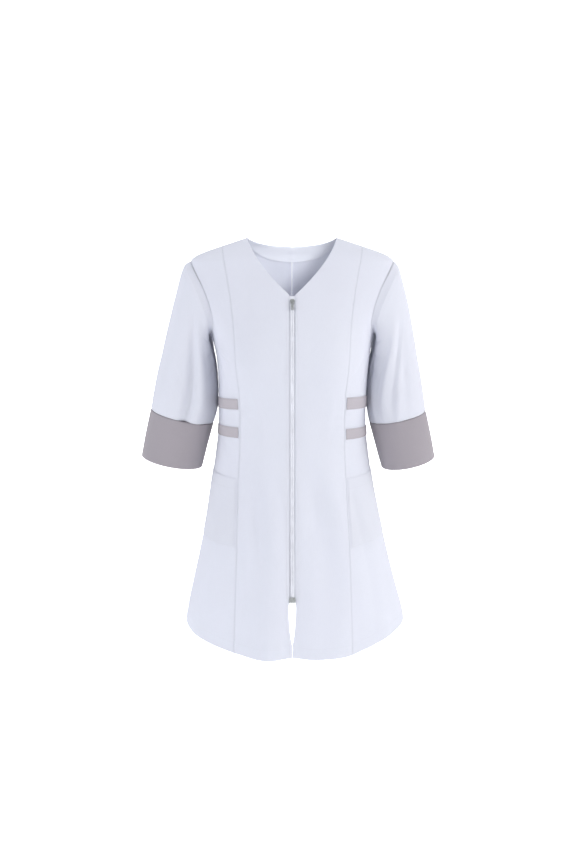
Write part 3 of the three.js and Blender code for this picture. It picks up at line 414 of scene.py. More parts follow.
# A smooth curve through a table by cubic steps with no overshoot: each tangent is the harmonic
# mean of the slopes on its two sides, or zero where they differ in sign.
def cubic(xs, ys, at):
    xs, ys = (xs[::-1], ys[::-1]) if xs[0] > xs[-1] else (xs, ys)
    at = np.clip(at, xs[0], xs[-1])
    slope = np.diff(ys) / np.diff(xs)
    before, after = slope[:-1], slope[1:]
    inner = np.where(before * after > 0, 2 * before * after / (before + after + 1e-300), 0)
    tangent = np.concatenate([slope[:1], inner, slope[-1:]])
    i = np.clip(np.searchsorted(xs, at, side="right") - 1, 0, len(xs) - 2)
    step = xs[i + 1] - xs[i]
    t = (at - xs[i]) / step
    rise = ys[i + 1] - ys[i]
    first, second = tangent[i] * step, tangent[i + 1] * step
    return ys[i] + first * t + (3 * rise - 2 * first - second) * t**2 + (first + second - 2 * rise) * t**3


# A step from 0 to 1 between two values: 3 t^2 - 2 t^3.
def smooth(low, high, at):
    t = np.clip((at - low) / (high - low), 0, 1)
    return t * t * (3 - 2 * t)


# A straight blend: a at t = 0, b at t = 1.
def mix(a, b, t):
    return a + (b - a) * t


# The body's right, left, front and back half sizes and its roundness at a height.
def sectionAt(z):
    return [cubic(bodySections[:, 0], bodySections[:, k], z) for k in range(1, 6)]


# Zero on the body's surface: |x/half|^round + |y/depth|^round - 1.
def bodyField(x, y, z):
    right, left, front, back, roundness = sectionAt(z)
    half = np.where(x < 0, right, left)
    depth = np.where(y < 0, front, back)
    return np.abs(x / half) ** roundness + np.abs(y / depth) ** roundness - 1


# Vectors divided by their lengths.
def unit(v):
    return v / np.maximum(np.linalg.norm(v, axis=-1, keepdims=True), 1e-9)


# The outward direction: the slope of the body's field, from its change over a small step.
def bodyNormal(p):
    x, y, z = p[..., 0], p[..., 1], p[..., 2]
    h = 0.5
    return unit(np.stack([
        bodyField(x + h, y, z) - bodyField(x - h, y, z),
        bodyField(x, y + h, z) - bodyField(x, y - h, z),
        bodyField(x, y, z + h) - bodyField(x, y, z - h),
    ], -1))


# Soft troughs and ridges: each is a bell across its line, with low shoulders beside it, and it
# fades to nothing at both ends.
def alongCrease(across, up, rows, perAcross):
    depth = np.zeros(np.broadcast(across, up).shape)
    for a0, u0, a1, u1, half, deep in rows:
        dx, dy = (a1 - a0) * perAcross, u1 - u0
        length = math.hypot(dx, dy)
        px, py = (across - a0) * perAcross, up - u0
        t = (px * dx + py * dy) / length**2
        bow = crease["bow"] * length * np.sin(np.pi * np.clip(t, 0, 1))
        off = ((px * dy - py * dx) / length - bow) / half
        ends = smooth(*crease["grows"], t) * (1 - smooth(*crease["fades"], t))
        depth += deep * (1 - crease["shoulders"] * off**2) * np.exp(-off**2) * ends
    return depth


# Flutes, bust and creases together, in mm outwards.
def bodyRelief(angle, z):
    turned = np.mod(angle, 360)
    depth = alongCrease(turned, z, bodyCreases, crease["bodyDegree"])
    for middle, width, deep, start, full, lean in bodyFolds:
        across = (turned - middle - lean * (z - full) / 1000) / width
        depth += deep * (1 - smooth(full, start, z)) * np.exp(-across**2)
    for middle in bust["angles"]:
        across = (turned - middle) / bust["width"]
        down = (z - bust["z"]) / bust["half"]
        depth += bust["depth"] * np.exp(-across**2 - down**2)
    return depth


# The middle of the cloth at an angle round the body and a height, with its outward direction.
def bodyPoint(angle, z):
    angle, z = np.broadcast_arrays(np.asarray(angle, float), np.asarray(z, float))
    right, left, front, back, roundness = sectionAt(z)
    c, n = np.cos(np.radians(angle)), np.sin(np.radians(angle))
    x = np.where(c < 0, right, left) * np.sign(c) * np.abs(c) ** (2 / roundness)
    y = -np.where(n < 0, back, front) * np.sign(n) * np.abs(n) ** (2 / roundness)
    flat = np.stack([x, y, z], -1)
    out = bodyNormal(flat)
    return flat + out * bodyRelief(angle, z)[..., None], out


# The angle at which the body's outline has a given width: half * cos(angle)^(2 / round) = x.
def angleAt(x, z, side):
    right, left, _, _, roundness = sectionAt(z)
    half = right if side == "right" else left
    return np.degrees(np.arccos(np.clip(x / half, 0, 1) ** (roundness / 2)))


# Turns an angle from one side's seam into the angle round the body: 0 at the left side, 90 in front.
def roundBody(side, facing, angle):
    front = angle if facing == "front" else -angle
    return 180 - front if side == "right" else front


# Seam lines

neckCurves = {  # x and z of each curve's three points
    "front": ((halfGap, -neckDepth), (72, -50), (neckHalf, 0)),
    "back": ((0, -20), (70, -19), (neckHalf, 0)),
}
neckShare = {"front": 0.7, "back": 0.625}  # share of a centre panel's head that is neckline
armholeOval = {"middleZ": -121, "halfHeight": 74, "front": 34, "back": 32, "scoop": 0.08}


# Heights down the princess line above the underarm, closer together at the shoulder by a sine.
def princessZ(share):
    return underarm + (princessTop - underarm) * np.sin(share * np.pi / 2)


# How far the princess line stands from the middle at a height.
def princessX(z):
    return cubic(princessTable[:, 0], princessTable[:, 1], z)


# Height and angle of the armhole line, from the underarm at 0 to the shoulder tip at 1.
def armhole(share, facing):
    turn = np.pi * (1 - share)
    reach = armholeOval[facing]
    z = armholeOval["middleZ"] + armholeOval["halfHeight"] * np.cos(turn)
    return z, reach * (np.sin(turn) - armholeOval["scoop"] * np.sin(2 * turn))


# A curve by three points: (1 - t)^2 first + 2 t (1 - t) second + t^2 third.
def bezier(points, t):
    (x0, z0), (x1, z1), (x2, z2) = points
    return ((1 - t) ** 2 * x0 + 2 * t * (1 - t) * x1 + t**2 * x2,
            (1 - t) ** 2 * z0 + 2 * t * (1 - t) * z1 + t**2 * z2)


# The neckline of one side, from the middle at 0 to the shoulder seam at 1.
def neckLine(facing, t):
    return bezier(neckCurves[facing], t)


# The neckline, then the shoulder seam out to the princess line.
def headLine(u, side, facing):
    share = neckShare[facing]
    neckX, neckZ = neckLine(facing, np.clip(u / share, 0, 1))
    z = mix(0, princessTop, np.clip((u - share) / (1 - share), 0, 1))
    x = sectionAt(z)[0 if side == "right" else 1]
    return np.where(u <= share, neckX, x), np.where(u <= share, neckZ, z)


# The hem's height: the side's at the side seam, the front's or back's past the blend.
def hemZ(side, facing, fromSide):
    return mix(hem[side], hem[facing], smooth(*hemBlend, fromSide))


# The princess line below the underarm, with the angle at which it meets the hem.
def skirtSeam(side, facing, share):
    straight = mix(underarm, hem[facing], share)
    hemAngle = angleAt(princessX(straight), straight, side)
    z = mix(underarm, hemZ(side, facing, hemAngle), share)
    return princessX(z), z, hemAngle


# Panels as grids: rows run down from the head to the hem, columns out from the centre

gridSteps = {"chest": 36 * fine, "skirt": 88 * fine, "centre": 26 * fine, "side": 28 * fine}


# A blend of four edges above the underarm, and straight rows to the princess line below it.
def centreGrid(side, facing):
    u = np.linspace(0, 1, gridSteps["centre"] + 1)[None, :]
    w = np.linspace(1, 0, gridSteps["chest"] + 1)[:, None]
    footX, footZ = neckLine(facing, 0.0)
    headX, headZ = headLine(u, side, facing)
    headEndX, headEndZ = headLine(np.array(1.0), side, facing)
    seamX, seamZ = princessX(princessZ(w)), princessZ(w)
    lowX = princessX(np.array(float(underarm)))
    lowRow = mix(footX, lowX, u)
    x = mix(footX, seamX, u) + mix(lowRow, headX, w) - mix(lowRow, mix(footX, headEndX, u), w)
    cornersZ = mix(underarm, mix(footZ, headEndZ, u), w)
    z = mix(mix(underarm, footZ, w), seamZ, u) + mix(underarm, headZ, w) - cornersZ
    share = np.linspace(0, 1, gridSteps["skirt"] + 1)[1:, None]
    middle = mix(underarm, hem[facing], share)
    edgeX, edgeZ, _ = skirtSeam(side, facing, share)
    start = cubic(openingTable[:, 0], openingTable[:, 1], middle) if facing == "front" else 0 * middle
    x = np.concatenate([x, mix(start, edgeX, u)])
    lift = hemCorner["lift"] * smooth(hemCorner["from"], 1, share) * np.exp(-(u / hemCorner["reach"]) ** 2)
    z = np.concatenate([z, mix(middle, edgeZ, u) + (lift if facing == "front" else 0)])
    return bodyPoint(roundBody(side, facing, angleAt(x, z, side)), z)


# Straight rows of angle from the princess line to the armhole, then to the side seam.
def sideGrid(side, facing):
    u = np.linspace(0, 1, gridSteps["side"] + 1)[None, :]
    w = np.linspace(1, 0, gridSteps["chest"] + 1)[:, None]
    seamZ = princessZ(w)
    seamAngle = np.where(w > 0.9999, 0, angleAt(princessX(seamZ), seamZ, side))
    holeZ, holeAngle = armhole(w, facing)
    angle, z = mix(seamAngle, holeAngle, u), mix(seamZ, holeZ, u)
    share = np.linspace(0, 1, gridSteps["skirt"] + 1)[1:, None]
    edgeX, edgeZ, hemAngle = skirtSeam(side, facing, share)
    below = mix(underarm, hemZ(side, facing, hemAngle * (1 - u)), share)
    angle = np.concatenate([angle, angleAt(edgeX, edgeZ, side) * (1 - u)])
    return bodyPoint(roundBody(side, facing, angle), np.concatenate([z, below]))


# Distances in mm from each point to the four edges of its grid, measured along rows and columns.
def lengths(points):
    across = np.linalg.norm(np.diff(points, axis=1), axis=-1)
    down = np.linalg.norm(np.diff(points, axis=0), axis=-1)
    left = np.pad(np.cumsum(across, 1), ((0, 0), (1, 0)))
    top = np.pad(np.cumsum(down, 0), ((1, 0), (0, 0)))
    return {"left": left, "right": left[:, -1:] - left, "top": top, "bottom": top[-1:] - top}


# Sewn edges: the groove, the painted shade in it, the puckers beside it and the gap between two panels; then
# the back seam's allowance and its ridge inside, with a painted highlight: a lighter line along the ridge
seam = {
    "groove": 0.32, "half": 1.7, "dark": 1.6, "gap": 0.12,
    "pucker": 0.18, "wave": 17.0, "reach": 11.0, "least": 0.6, "more": 0.4, "slow": 67.0,
    "drift": 1.7, "driftOver": 41.0,
    "allowance": 0.3, "allowanceEnds": (8.0, 9.5), "ridge": 1.1, "ridgeHalf": 2.0,
    "paintedShine": 3.0, "paintedShineHalf": 3.0,
}
hemLine = {  # the turned-up hem: its stitched groove, the step at its edge and its ripple
    "up": 20.0, "step": 0.22, "stepHalf": 1.5, "groove": 0.3, "half": 2.0,
    "ripple": 0.25, "wave": 23, "reach": 16, "drift": 2, "driftOver": 57,
}


# A rounded groove at each sewn edge with small uneven puckers beside it, and a shallow line where
# the hem is stitched. Also gives how near each point is to a seam, from 0 to 1: the mask of painted seam
# shade.
def sewnRelief(points, sewn, hemmed=None):
    fromEdge = lengths(points)
    depth, near = np.zeros(points.shape[:2]), np.zeros(points.shape[:2])
    for edge in sewn:
        d = fromEdge[edge]
        run = fromEdge["top"] if edge in ("left", "right") else fromEdge["left"]
        uneven = seam["least"] + seam["more"] * np.sin(run / seam["slow"] + 1)
        drift = seam["drift"] * np.sin(run / seam["driftOver"])
        wave = np.sin(2 * np.pi * run / seam["wave"] + drift) * uneven
        depth -= seam["groove"] * np.exp(-(d / seam["half"]) ** 2)
        depth += seam["pucker"] * wave * np.exp(-(d / seam["reach"]) ** 2)
        near = np.maximum(near, np.exp(-(d / seam["dark"]) ** 2))
    if hemmed:
        d = fromEdge[hemmed] - hemLine["up"]
        depth += hemLine["step"] * (1 - smooth(-hemLine["stepHalf"], hemLine["stepHalf"], d))
        depth -= hemLine["groove"] * np.exp(-(d / hemLine["half"]) ** 2)
        run = fromEdge["left"]
        drift = hemLine["drift"] * np.sin(run / hemLine["driftOver"])
        wave = np.sin(2 * np.pi * run / hemLine["wave"] + drift)
        depth += hemLine["ripple"] * wave * np.exp(-(d / hemLine["reach"]) ** 2)
    return depth, near


# The grid with its outermost points stepped back from the seam lines.
def stepBack(points):
    moved = points.copy()
    head, foot = (np.s_[0], np.s_[1]), (np.s_[-1], np.s_[-2])
    left, right = (np.s_[:, 0], np.s_[:, 1]), (np.s_[:, -1], np.s_[:, -2])
    for at, inner in (head, foot, left, right):
        step = points[inner] - points[at]
        long = np.maximum(np.linalg.norm(step, axis=-1, keepdims=True), 1e-6)
        moved[at] = moved[at] + step / long * np.minimum(seam["gap"], long / 3)
    return moved


# An object with its materials, put in the scene and tied to its body.
def linked(name, mesh, material, body="dress"):
    obj = bpy.data.objects.new(name, mesh)
    bpy.context.scene.collection.objects.link(obj)
    for made in material if isinstance(material, (list, tuple)) else [material]:
        obj.data.materials.append(made)
    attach(obj, body)
    return obj


# A closed cloth wall from a grid of points and outward directions: an outer and an inner layer,
# thinner at the rim so that the edge looks turned. A tube joins its last column to its first.
# The UV map runs in metres along the columns and rows.
def shell(name, points, out, wall, materials, near=None, tube=False, inside=0, nearInside=None):
    rows, columns = points.shape[:2]
    rim = np.ones((rows, columns))
    rim[0], rim[-1] = cloth["rim"], cloth["rim"]
    if not tube:
        rim[:, 0], rim[:, -1] = cloth["rim"], cloth["rim"]
    lift = (np.broadcast_to(wall, rim.shape) / 2 * rim)[..., None]
    layers = np.concatenate([points + out * lift, points - out * lift]).reshape(-1, 3)
    i, j = np.meshgrid(np.arange(rows - 1), np.arange(columns if tube else columns - 1), indexing="ij")
    k = (j + 1) % columns
    a, b, c, d = i * columns + j, i * columns + k, (i + 1) * columns + k, (i + 1) * columns + j
    under = rows * columns
    outer = np.stack([a, d, c, b], -1).reshape(-1, 4)
    inner = (np.stack([a, b, c, d], -1) + under).reshape(-1, 4)
    walls = [outer, inner]
    ends = [(np.s_[0], 1), (np.s_[-1], -1)]
    if not tube:
        ends += [(np.s_[:, 0], -1), (np.s_[:, -1], 1)]
    ids = np.arange(under).reshape(rows, columns)
    for at, sense in ends:
        line = ids[at]
        after = np.roll(line, -1) if tube else line[1:]
        line = line if tube else line[:-1]
        quad = np.stack([line, after, after + under, line + under], -1)
        walls.append(quad if sense > 0 else quad[:, ::-1])
    faces = np.concatenate(walls)
    p = layers[faces]
    volume = np.einsum("ij,ij->i", p[:, 0], np.cross(p[:, 1], p[:, 2]) + np.cross(p[:, 2], p[:, 3])).sum()
    if volume < 0:
        faces = faces[:, ::-1]
    mesh = bpy.data.meshes.new(name)
    mesh.from_pydata((layers / 1000).tolist(), [], faces.tolist())
    fromEdge = lengths(points)
    uv = np.stack([fromEdge["left"], fromEdge["top"]], -1).reshape(-1, 2) / 1000
    uv = np.concatenate([uv, uv])
    loops = np.empty(len(mesh.loops), np.int32)
    mesh.loops.foreach_get("vertex_index", loops)
    layer = mesh.uv_layers.new(name="cloth")
    layer.data.foreach_set("uv", uv[loops].astype(np.float32).ravel())
    nearness = np.zeros((rows, columns)) if near is None else near
    # The seam mask, by which the cloth's colour takes painted shade near the seams
    made = mesh.attributes.new("seam", "FLOAT", "POINT")
    innerNear = nearness if nearInside is None else nearInside
    made.data.foreach_set("value", np.concatenate([nearness.ravel(), innerNear.ravel()]).astype(np.float32))
    mesh.polygons.foreach_set("use_smooth", np.ones(len(mesh.polygons), bool))
    slots = np.zeros(len(faces), np.int32)
    slots[len(outer):len(outer) + len(inner)] = inside  # the material of the inner layer
    mesh.polygons.foreach_set("material_index", slots)
    mesh.set_sharp_from_angle(angle=math.radians(sharpAngle["cloth"]))
    return linked(name, mesh, materials)


cutSizes = {}
areaShares = (0.31, 0.99)  # of the flat rectangle, between which a piece's area is stated


# Says what the piece is cut from: its widest row and longest column, and the cloth's own area.
def declareCloth(obj, points, nodeName, tube=False):
    grid = np.concatenate([points, points[:, :1]], 1) if tube else points
    across = np.cross(grid[1:, 1:] - grid[:-1, :-1], grid[1:, :-1] - grid[:-1, 1:])
    area = np.linalg.norm(across, axis=-1).sum() / 2e6
    fromEdge = lengths(grid)
    wide, long = fromEdge["left"][:, -1].max() / 1000, fromEdge["top"][-1].max() / 1000
    while wide * long < area:
        wide *= 1.01
    flat = (round(float(wide), 3), round(float(long), 3))
    least, most = (share * flat[0] * flat[1] for share in areaShares)
    area = round(float(np.clip(area, least, most)), 5)
    cutSizes[obj.name] = (*flat, area)
    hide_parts(nodeName)


panels = {}  # each panel's finished middle surface, for what lies on it
# Outer layer the white cloth, inner layer its lighter copy with painted light
white = [finish["white"], finish["inside"]]


# A body panel: its seams' relief, then the shell and what it is cut from.
def makePanel(name, grid, sewn, nodeName):
    points, out = grid
    depth, near = sewnRelief(points, sewn, "bottom")
    points = stepBack(points + out * depth[..., None])
    panels[name] = (points, out)
    wall, nearInside = cloth["wall"], None
    if name.startswith("back"):
        # The pressed-open allowance of the centre back seam stands inwards
        d = lengths(points)["left"]
        allowance = seam["allowance"] * (1 - smooth(*seam["allowanceEnds"], d))
        allowance += seam["ridge"] * np.exp(-(d / seam["ridgeHalf"]) ** 2)
        wall = cloth["wall"] + allowance
        points = points - out * (allowance / 2)[..., None]
        # Painted highlight: inside, the seam mask is lowered along the ridge so that a lighter line shows
        d = lengths(points)["left"]
        nearInside = near - seam["paintedShine"] * np.exp(-(d / seam["paintedShineHalf"]) ** 4)
    obj = shell(name, points, out, wall, white, near, inside=1, nearInside=nearInside)
    declareCloth(obj, points, nodeName)


for side in ("right", "left"):
    centre, outer = centreGrid(side, "front"), sideGrid(side, "front")
    makePanel(f"frontCentre_{side}", centre, ["right"], f"front_centre_{side}")
    makePanel(f"frontSide_{side}", outer, ["left", "right"], f"front_side_{side}")
    backCentre, backSide = centreGrid(side, "back"), sideGrid(side, "back")
    whole = tuple(np.concatenate([a, b[:, 1:]], 1) for a, b in zip(backCentre, backSide))
    makePanel(f"backPanel_{side}", whole, ["left", "right"], f"back_{side}")
    print("panels made:", side)

# Sleeves: the seam at the armhole, a roll over it, then oval sections down to the cuff

sleeveSections = {  # outer x, outer z, inner x, inner z, front, back
    "right": np.array([
        (216, -54.5, 169, -200, 62, 58), (220.5, -64, 166.5, -210, 63, 59),
        (226, -80, 162.8, -222, 63, 60), (233, -107, 158.8, -236, 63, 61),
        (241, -138, 155.4, -252, 62, 62), (249, -170, 153, -270, 61, 62),
        (257, -203, 151.7, -289, 60, 62), (264.5, -236, 151.1, -308, 60, 60),
        (272, -266, 151.3, -327, 60, 58), (278, -294, 152.6, -345, 60, 56),
        (283, -321, 156.5, -362, 59, 54), (287.3, -347.4, 161.5, -377.4, 58, 52),
    ]),
    "left": np.array([
        (215, -59, 169.2, -200, 62, 58), (219, -71, 167.5, -210, 63, 59),
        (224.5, -91, 164.8, -222, 63, 60), (231, -116, 161.2, -236, 63, 61),
        (237.5, -145, 158, -252, 62, 62), (243.5, -177, 155.6, -270, 61, 62),
        (249.5, -210, 153.9, -289, 60, 62), (255, -243, 152.9, -308, 60, 60),
        (260.5, -272, 152.4, -327, 60, 58), (265, -300, 153.2, -345, 60, 56),
        (269, -326, 155.6, -361, 59, 54), (272.3, -351.4, 158.8, -376, 58, 52),
    ]),
}
sleeveFolds = {  # angle, half width, depth, start, peak, end, turn
    "right": [
        (101, 12, -4, 0.45, 0.9, 1.4, 6), (122, 11, 3, 0.5, 0.85, 1.3, 4),
        (62, 16, 2.5, 0.35, 0.7, 1.2, -8), (245, 14, -4, 0.4, 0.8, 1.3, -10),
        (285, 16, 3, 0.35, 0.75, 1.2, -6),
    ],
    "left": [
        (78, 12, 3.5, 0.3, 0.75, 1.2, 34), (56, 11, -3.5, 0.35, 0.75, 1.2, 30),
        (132, 12, -3, 0.5, 0.9, 1.4, 0), (250, 14, -4, 0.4, 0.85, 1.3, 8),
        (294, 15, 3, 0.3, 0.7, 1.2, 6),
    ],
}
cuffSections = {  # outer x, outer z, inner x, inner z, front, back, forward
    "right": np.array([
        (287.5, -348.3, 161.8, -378.3, 58, 52, 0), (292, -371, 168, -400, 57, 52, 3),
        (297, -395, 174.3, -422.5, 57, 52, 5), (301.5, -419, 179.7, -445, 56.5, 52, 7),
        (306, -442, 185, -466.5, 56, 52, 9),
    ]),
    "left": np.array([
        (272.4, -352.2, 159.1, -376.8, 58, 52, 0), (277, -375, 165.8, -399.5, 57, 52, 3),
        (281.5, -398, 172, -422.5, 57, 52, 5), (286, -421, 178.2, -445.5, 56.5, 52, 7),
        (290, -444, 184.4, -468, 56, 52, 9),
    ]),
}
# Creases of a sleeve: from one turn and share to another, half width, depth; a share is 300 mm long
sleeveCreases = [
    (150, 0.30, 118, 0.42, 6, -1.4), (156, 0.38, 120, 0.55, 6, -1.2), (160, 0.50, 128, 0.66, 7, -1.1),
    (205, 0.30, 240, 0.43, 6, -1.5), (200, 0.42, 238, 0.58, 7, -1.3), (196, 0.56, 230, 0.72, 7, -1.0),
    (60, 0.70, 100, 0.88, 8, -0.9), (300, 0.66, 262, 0.86, 8, -1.0), (20, 0.45, 12, 0.80, 10, -0.7),
    (335, 0.40, 345, 0.78, 10, -0.8), (262, 0.36, 256, 1.04, 11, -3.2), (290, 0.40, 296, 1.0, 12, 2.0),
]
frontCreases = {  # the long ones that show from the front
    "right": [
        (86, 0.40, 87, 1.24, 10, -6.0), (107, 0.42, 108, 1.15, 12, 4.0), (140, 0.40, 142, 1.1, 16, -2.6),
    ],
    "left": [
        (64, 0.48, 105, 1.02, 10, -6.0), (84, 0.46, 126, 1.0, 10, 4.0), (150, 0.44, 148, 1.1, 9, -2.6),
    ],
}
# The roll over the armhole seam: its share of the sleeve's rows, its height and how much less at the
# front and back, the sections that it fades over, the way the shoulder seam runs on, and the painted shade on
# the armhole seam at its upper front and back
roll = {
    "rows": 3, "rise": 8.0, "less": 5.5, "fade": 6, "fadeBend": 1.4, "inset": 0.4, "share": 14,
    "slope": (0.9, -0.43), "shadeFront": 46, "shadeHalf": 24, "shade": 3.2,
}
armholeRow = np.array((204, shoulderTip, 163, underarm, 58, 54), float)
sleeveLong = 300.0
underarmSeam = {  # starts: shares of the sleeve over which the seam leaves the roll
    "turn": 186, "groove": 0.6, "half": 2.2, "pucker": 0.2, "wave": 3.1, "reach": 9, "dark": 1.6,
    "starts": (0.2, 0.3),
}
sleeveHem = {"groove": 0.55, "half": 2.2}
ease = {"at": 0.27, "half": 0.05, "high": 0.45}  # the fullness at the head of the sleeve
cuffRelief = {
    "groove": 0.6, "half": 2.4, "wave": 0.35, "seamGroove": 0.6, "seamHalf": 2.0, "dark": 1.4,
}
cuffEnds = np.array([0, 0.012, 0.04, 0.08])  # closer rows at the cuff's two edges
tubeSteps = {"round": 82 * fine, "sleeve": 60 * fine, "roll": 8 * fine, "cuff": 19 * fine}


# A point of a tilted oval: turn 0 at the outer point, 90 at the front, 180 at the inner point.
def ringPoint(row, sign, turn, forward=0.0):
    c, n = np.cos(np.radians(turn)), np.sin(np.radians(turn))
    outX, outZ, inX, inZ, front, back = (row[..., k] for k in range(6))
    x = sign * ((outX + inX) / 2 + (outX - inX) / 2 * c)
    z = (outZ + inZ) / 2 + (outZ - inZ) / 2 * c
    return np.stack([x, -forward - np.where(n > 0, front, back) * n, z], -1)


# Sections between those of a table, by a smooth curve through each column.
def sectionRows(table, index):
    steps = np.arange(len(table), dtype=float)
    return np.stack([cubic(steps, table[:, k], index) for k in range(table.shape[1])], -1)


# The armhole line as a closed loop: turn 0 at the shoulder tip, 90 in front, 180 underarm.
def armholePoint(side, turn):
    turn = np.mod(turn, 360)
    share = np.where(turn <= 180, 1 - turn / 180, turn / 180 - 1)
    frontZ, frontAngle = armhole(share, "front")
    backZ, backAngle = armhole(share, "back")
    isFront = turn <= 180
    angle = np.where(isFront, roundBody(side, "front", frontAngle), roundBody(side, "back", backAngle))
    return bodyPoint(angle, np.where(isFront, frontZ, backZ))


# Outward directions of a tube: its way along crossed with its way round.
def tubeOut(points, sign):
    along = np.gradient(points, axis=0)
    around = np.roll(points, -1, 1) - np.roll(points, 1, 1)
    return unit(np.cross(along, around)) * sign


# Broad folds of a sleeve: each a bell across its turn that grows and fades along the sleeve.
def foldRelief(side, turn, share):
    depth = np.zeros(np.broadcast(turn, share).shape)
    for middle, width, deep, start, peak, end, twist in sleeveFolds[side]:
        across = (turn - middle - twist * (share - start)) / width
        depth += deep * smooth(start, peak, share) * (1 - smooth(peak, end, share)) * np.exp(-across**2)
    return depth


# The sleeve's rows: a short curve that rolls over the seam, then ovals down to the cuff, with
# creases along and across them added outwards.
def sleeveGrid(side):
    sign = -1 if side == "right" else 1
    turn = np.arange(tubeSteps["round"]) * 360 / tubeSteps["round"]
    point, out = armholePoint(side, turn)
    onward = unit(np.cross(armholePoint(side, turn + 1)[0] - armholePoint(side, turn - 1)[0], out))
    middle = np.array((sign * (armholeRow[0] + armholeRow[2]) / 2, 0, (armholeRow[1] + armholeRow[3]) / 2))
    onward *= np.sign(np.einsum("ij,ij->i", onward, middle - point))[:, None]
    index = np.linspace(0, len(sleeveSections[side]) - 1, tubeSteps["sleeve"] + 1)
    rows = sectionRows(sleeveSections[side], index)[:, None, :]
    keep = np.clip(1 - (index + 1) / roll["fade"], 0, 1)[:, None, None] ** roll["fadeBend"]
    lower = ringPoint(rows, sign, turn[None, :]) + (point - ringPoint(armholeRow, sign, turn)) * keep
    t = np.linspace(0, 1, tubeSteps["roll"] + 1)[:-1, None, None]
    start = point + onward * roll["inset"]
    slope = np.array((sign * roll["slope"][0], 0, roll["slope"][1]))
    headShare = np.clip(np.cos(np.radians(turn)), 0, 1)[:, None] ** 2
    rise = roll["rise"] - roll["less"] * np.abs(np.sin(np.radians(turn)))[:, None] ** 2
    bend = start + unit(mix(onward, slope, headShare)) * rise
    over = (1 - t) ** 2 * start + 2 * t * (1 - t) * bend + t**2 * lower[0]
    points = np.concatenate([over, lower])
    share = np.concatenate([t[:, 0, 0] * roll["rows"], roll["rows"] + index]) / roll["share"]
    direction = tubeOut(points, -sign)
    direction[0] = out
    relief = foldRelief(side, turn[None, :], share[:, None])
    creases = [(a, s * sleeveLong, b, e * sleeveLong, w, d)
               for a, s, b, e, w, d in sleeveCreases + frontCreases[side]]
    run = share[:, None] * sleeveLong
    relief += alongCrease(turn[None, :], run, creases, crease["sleeveDegree"])
    # The underarm seam runs down the tube's inner side
    apart = np.abs(turn - underarmSeam["turn"])[None, :] * crease["sleeveDegree"]
    wave = np.sin(run / underarmSeam["wave"])
    seamShare = smooth(*underarmSeam["starts"], share)[:, None]
    groove = underarmSeam["groove"] * np.exp(-(apart / underarmSeam["half"]) ** 2)
    pucker = underarmSeam["pucker"] * wave * np.exp(-(apart / underarmSeam["reach"]) ** 2)
    relief -= seamShare * (groove - pucker)
    low = lengths(points)["bottom"]
    relief -= sleeveHem["groove"] * np.exp(-(low / sleeveHem["half"]) ** 2)
    # The fullness eased into the head of the sleeve
    topShare = np.clip(np.cos(np.radians(turn)), 0, 1)[None, :]
    eased = np.exp(-((share[:, None] - ease["at"]) / ease["half"]) ** 2) * topShare
    relief += ease["high"] * eased * np.sin(turn / 5.1 + 1.4 * np.sin(turn / 19))[None, :]
    points = points + direction * relief[..., None]
    # How near each point is to the cuff seam and the underarm seam: the mask of painted seam shade
    dark = underarmSeam["dark"]
    near = np.maximum(np.exp(-(low / dark) ** 2), seamShare * np.exp(-(apart / dark) ** 2))
    # Painted shade: the armhole seam is darkest where the sleeve creases at its upper front and back
    fromShade = [(turn - at) / roll["shadeHalf"] for at in (roll["shadeFront"], 360 - roll["shadeFront"])]
    near[:2 * fine] = 1 + roll["shade"] * (np.exp(-fromShade[0] ** 2) + np.exp(-fromShade[1] ** 2))
    return points, direction, near


# The cuff's rows: ovals with a groove at the seam, carrying on the sleeve's folds.
def cuffGrid(side):
    sign = -1 if side == "right" else 1
    turn = np.arange(tubeSteps["round"]) * 360 / tubeSteps["round"]
    last = len(cuffSections[side]) - 1
    between = np.linspace(0.13, last - 0.13, tubeSteps["cuff"])
    index = np.concatenate([cuffEnds, between, last - cuffEnds[::-1]])
    rows = sectionRows(cuffSections[side], index)[:, None, :]
    points = ringPoint(rows, sign, turn[None, :], rows[..., 6])
    direction = tubeOut(points, -sign)
    relief = foldRelief(side, turn[None, :], 1.0) * np.clip(1 - index, 0, 1)[:, None] ** 1.5
    top = lengths(points)["top"]
    relief -= cuffRelief["groove"] * np.exp(-(top / cuffRelief["half"]) ** 2)
    relief += cuffRelief["wave"] * np.sin(turn / 9.0 + 0.8)[None, :] * np.sin(np.pi * index / last)[:, None]
    apart = np.abs(turn - underarmSeam["turn"])[None, :] * crease["sleeveDegree"]
    relief -= cuffRelief["seamGroove"] * np.exp(-(apart / cuffRelief["seamHalf"]) ** 2)
    # How near each point is to the cuff's top seam and its underarm seam: the mask of painted seam shade
    dark = cuffRelief["dark"]
    near = np.maximum(np.exp(-(top / dark) ** 2), np.exp(-(apart / dark) ** 2))
    return points + direction * relief[..., None], direction, near


for side in ("right", "left"):
    points, out, near = sleeveGrid(side)
    panels[f"sleeve_{side}"] = (points, out)
    obj = shell(f"sleeveCloth_{side}", points, out, cloth["wall"], white, near, tube=True, inside=1)
    declareCloth(obj, points, f"sleeve_{side}", tube=True)
    points, out, near = cuffGrid(side)
    obj = shell(f"cuffBand_{side}", points, out, cloth["cuff"], finish["cuff"], near, tube=True)
    declareCloth(obj, points, f"cuff_{side}", tube=True)
print("sleeves and cuffs made")

# Pieces that lie on a panel take their points from it


# Points and directions part way between a panel's rows and columns.
def onPanel(panel, row, column):
    points, out = panel
    i = np.clip(np.floor(row).astype(int), 0, points.shape[0] - 2)
    j = np.clip(np.floor(column).astype(int), 0, points.shape[1] - 2)
    r, c = (row - i)[..., None], (column - j)[..., None]
    place, direction = (mix(mix(g[i, j], g[i, j + 1], c), mix(g[i + 1, j], g[i + 1, j + 1], c), r)
                        for g in (points, out))
    return place, unit(direction)


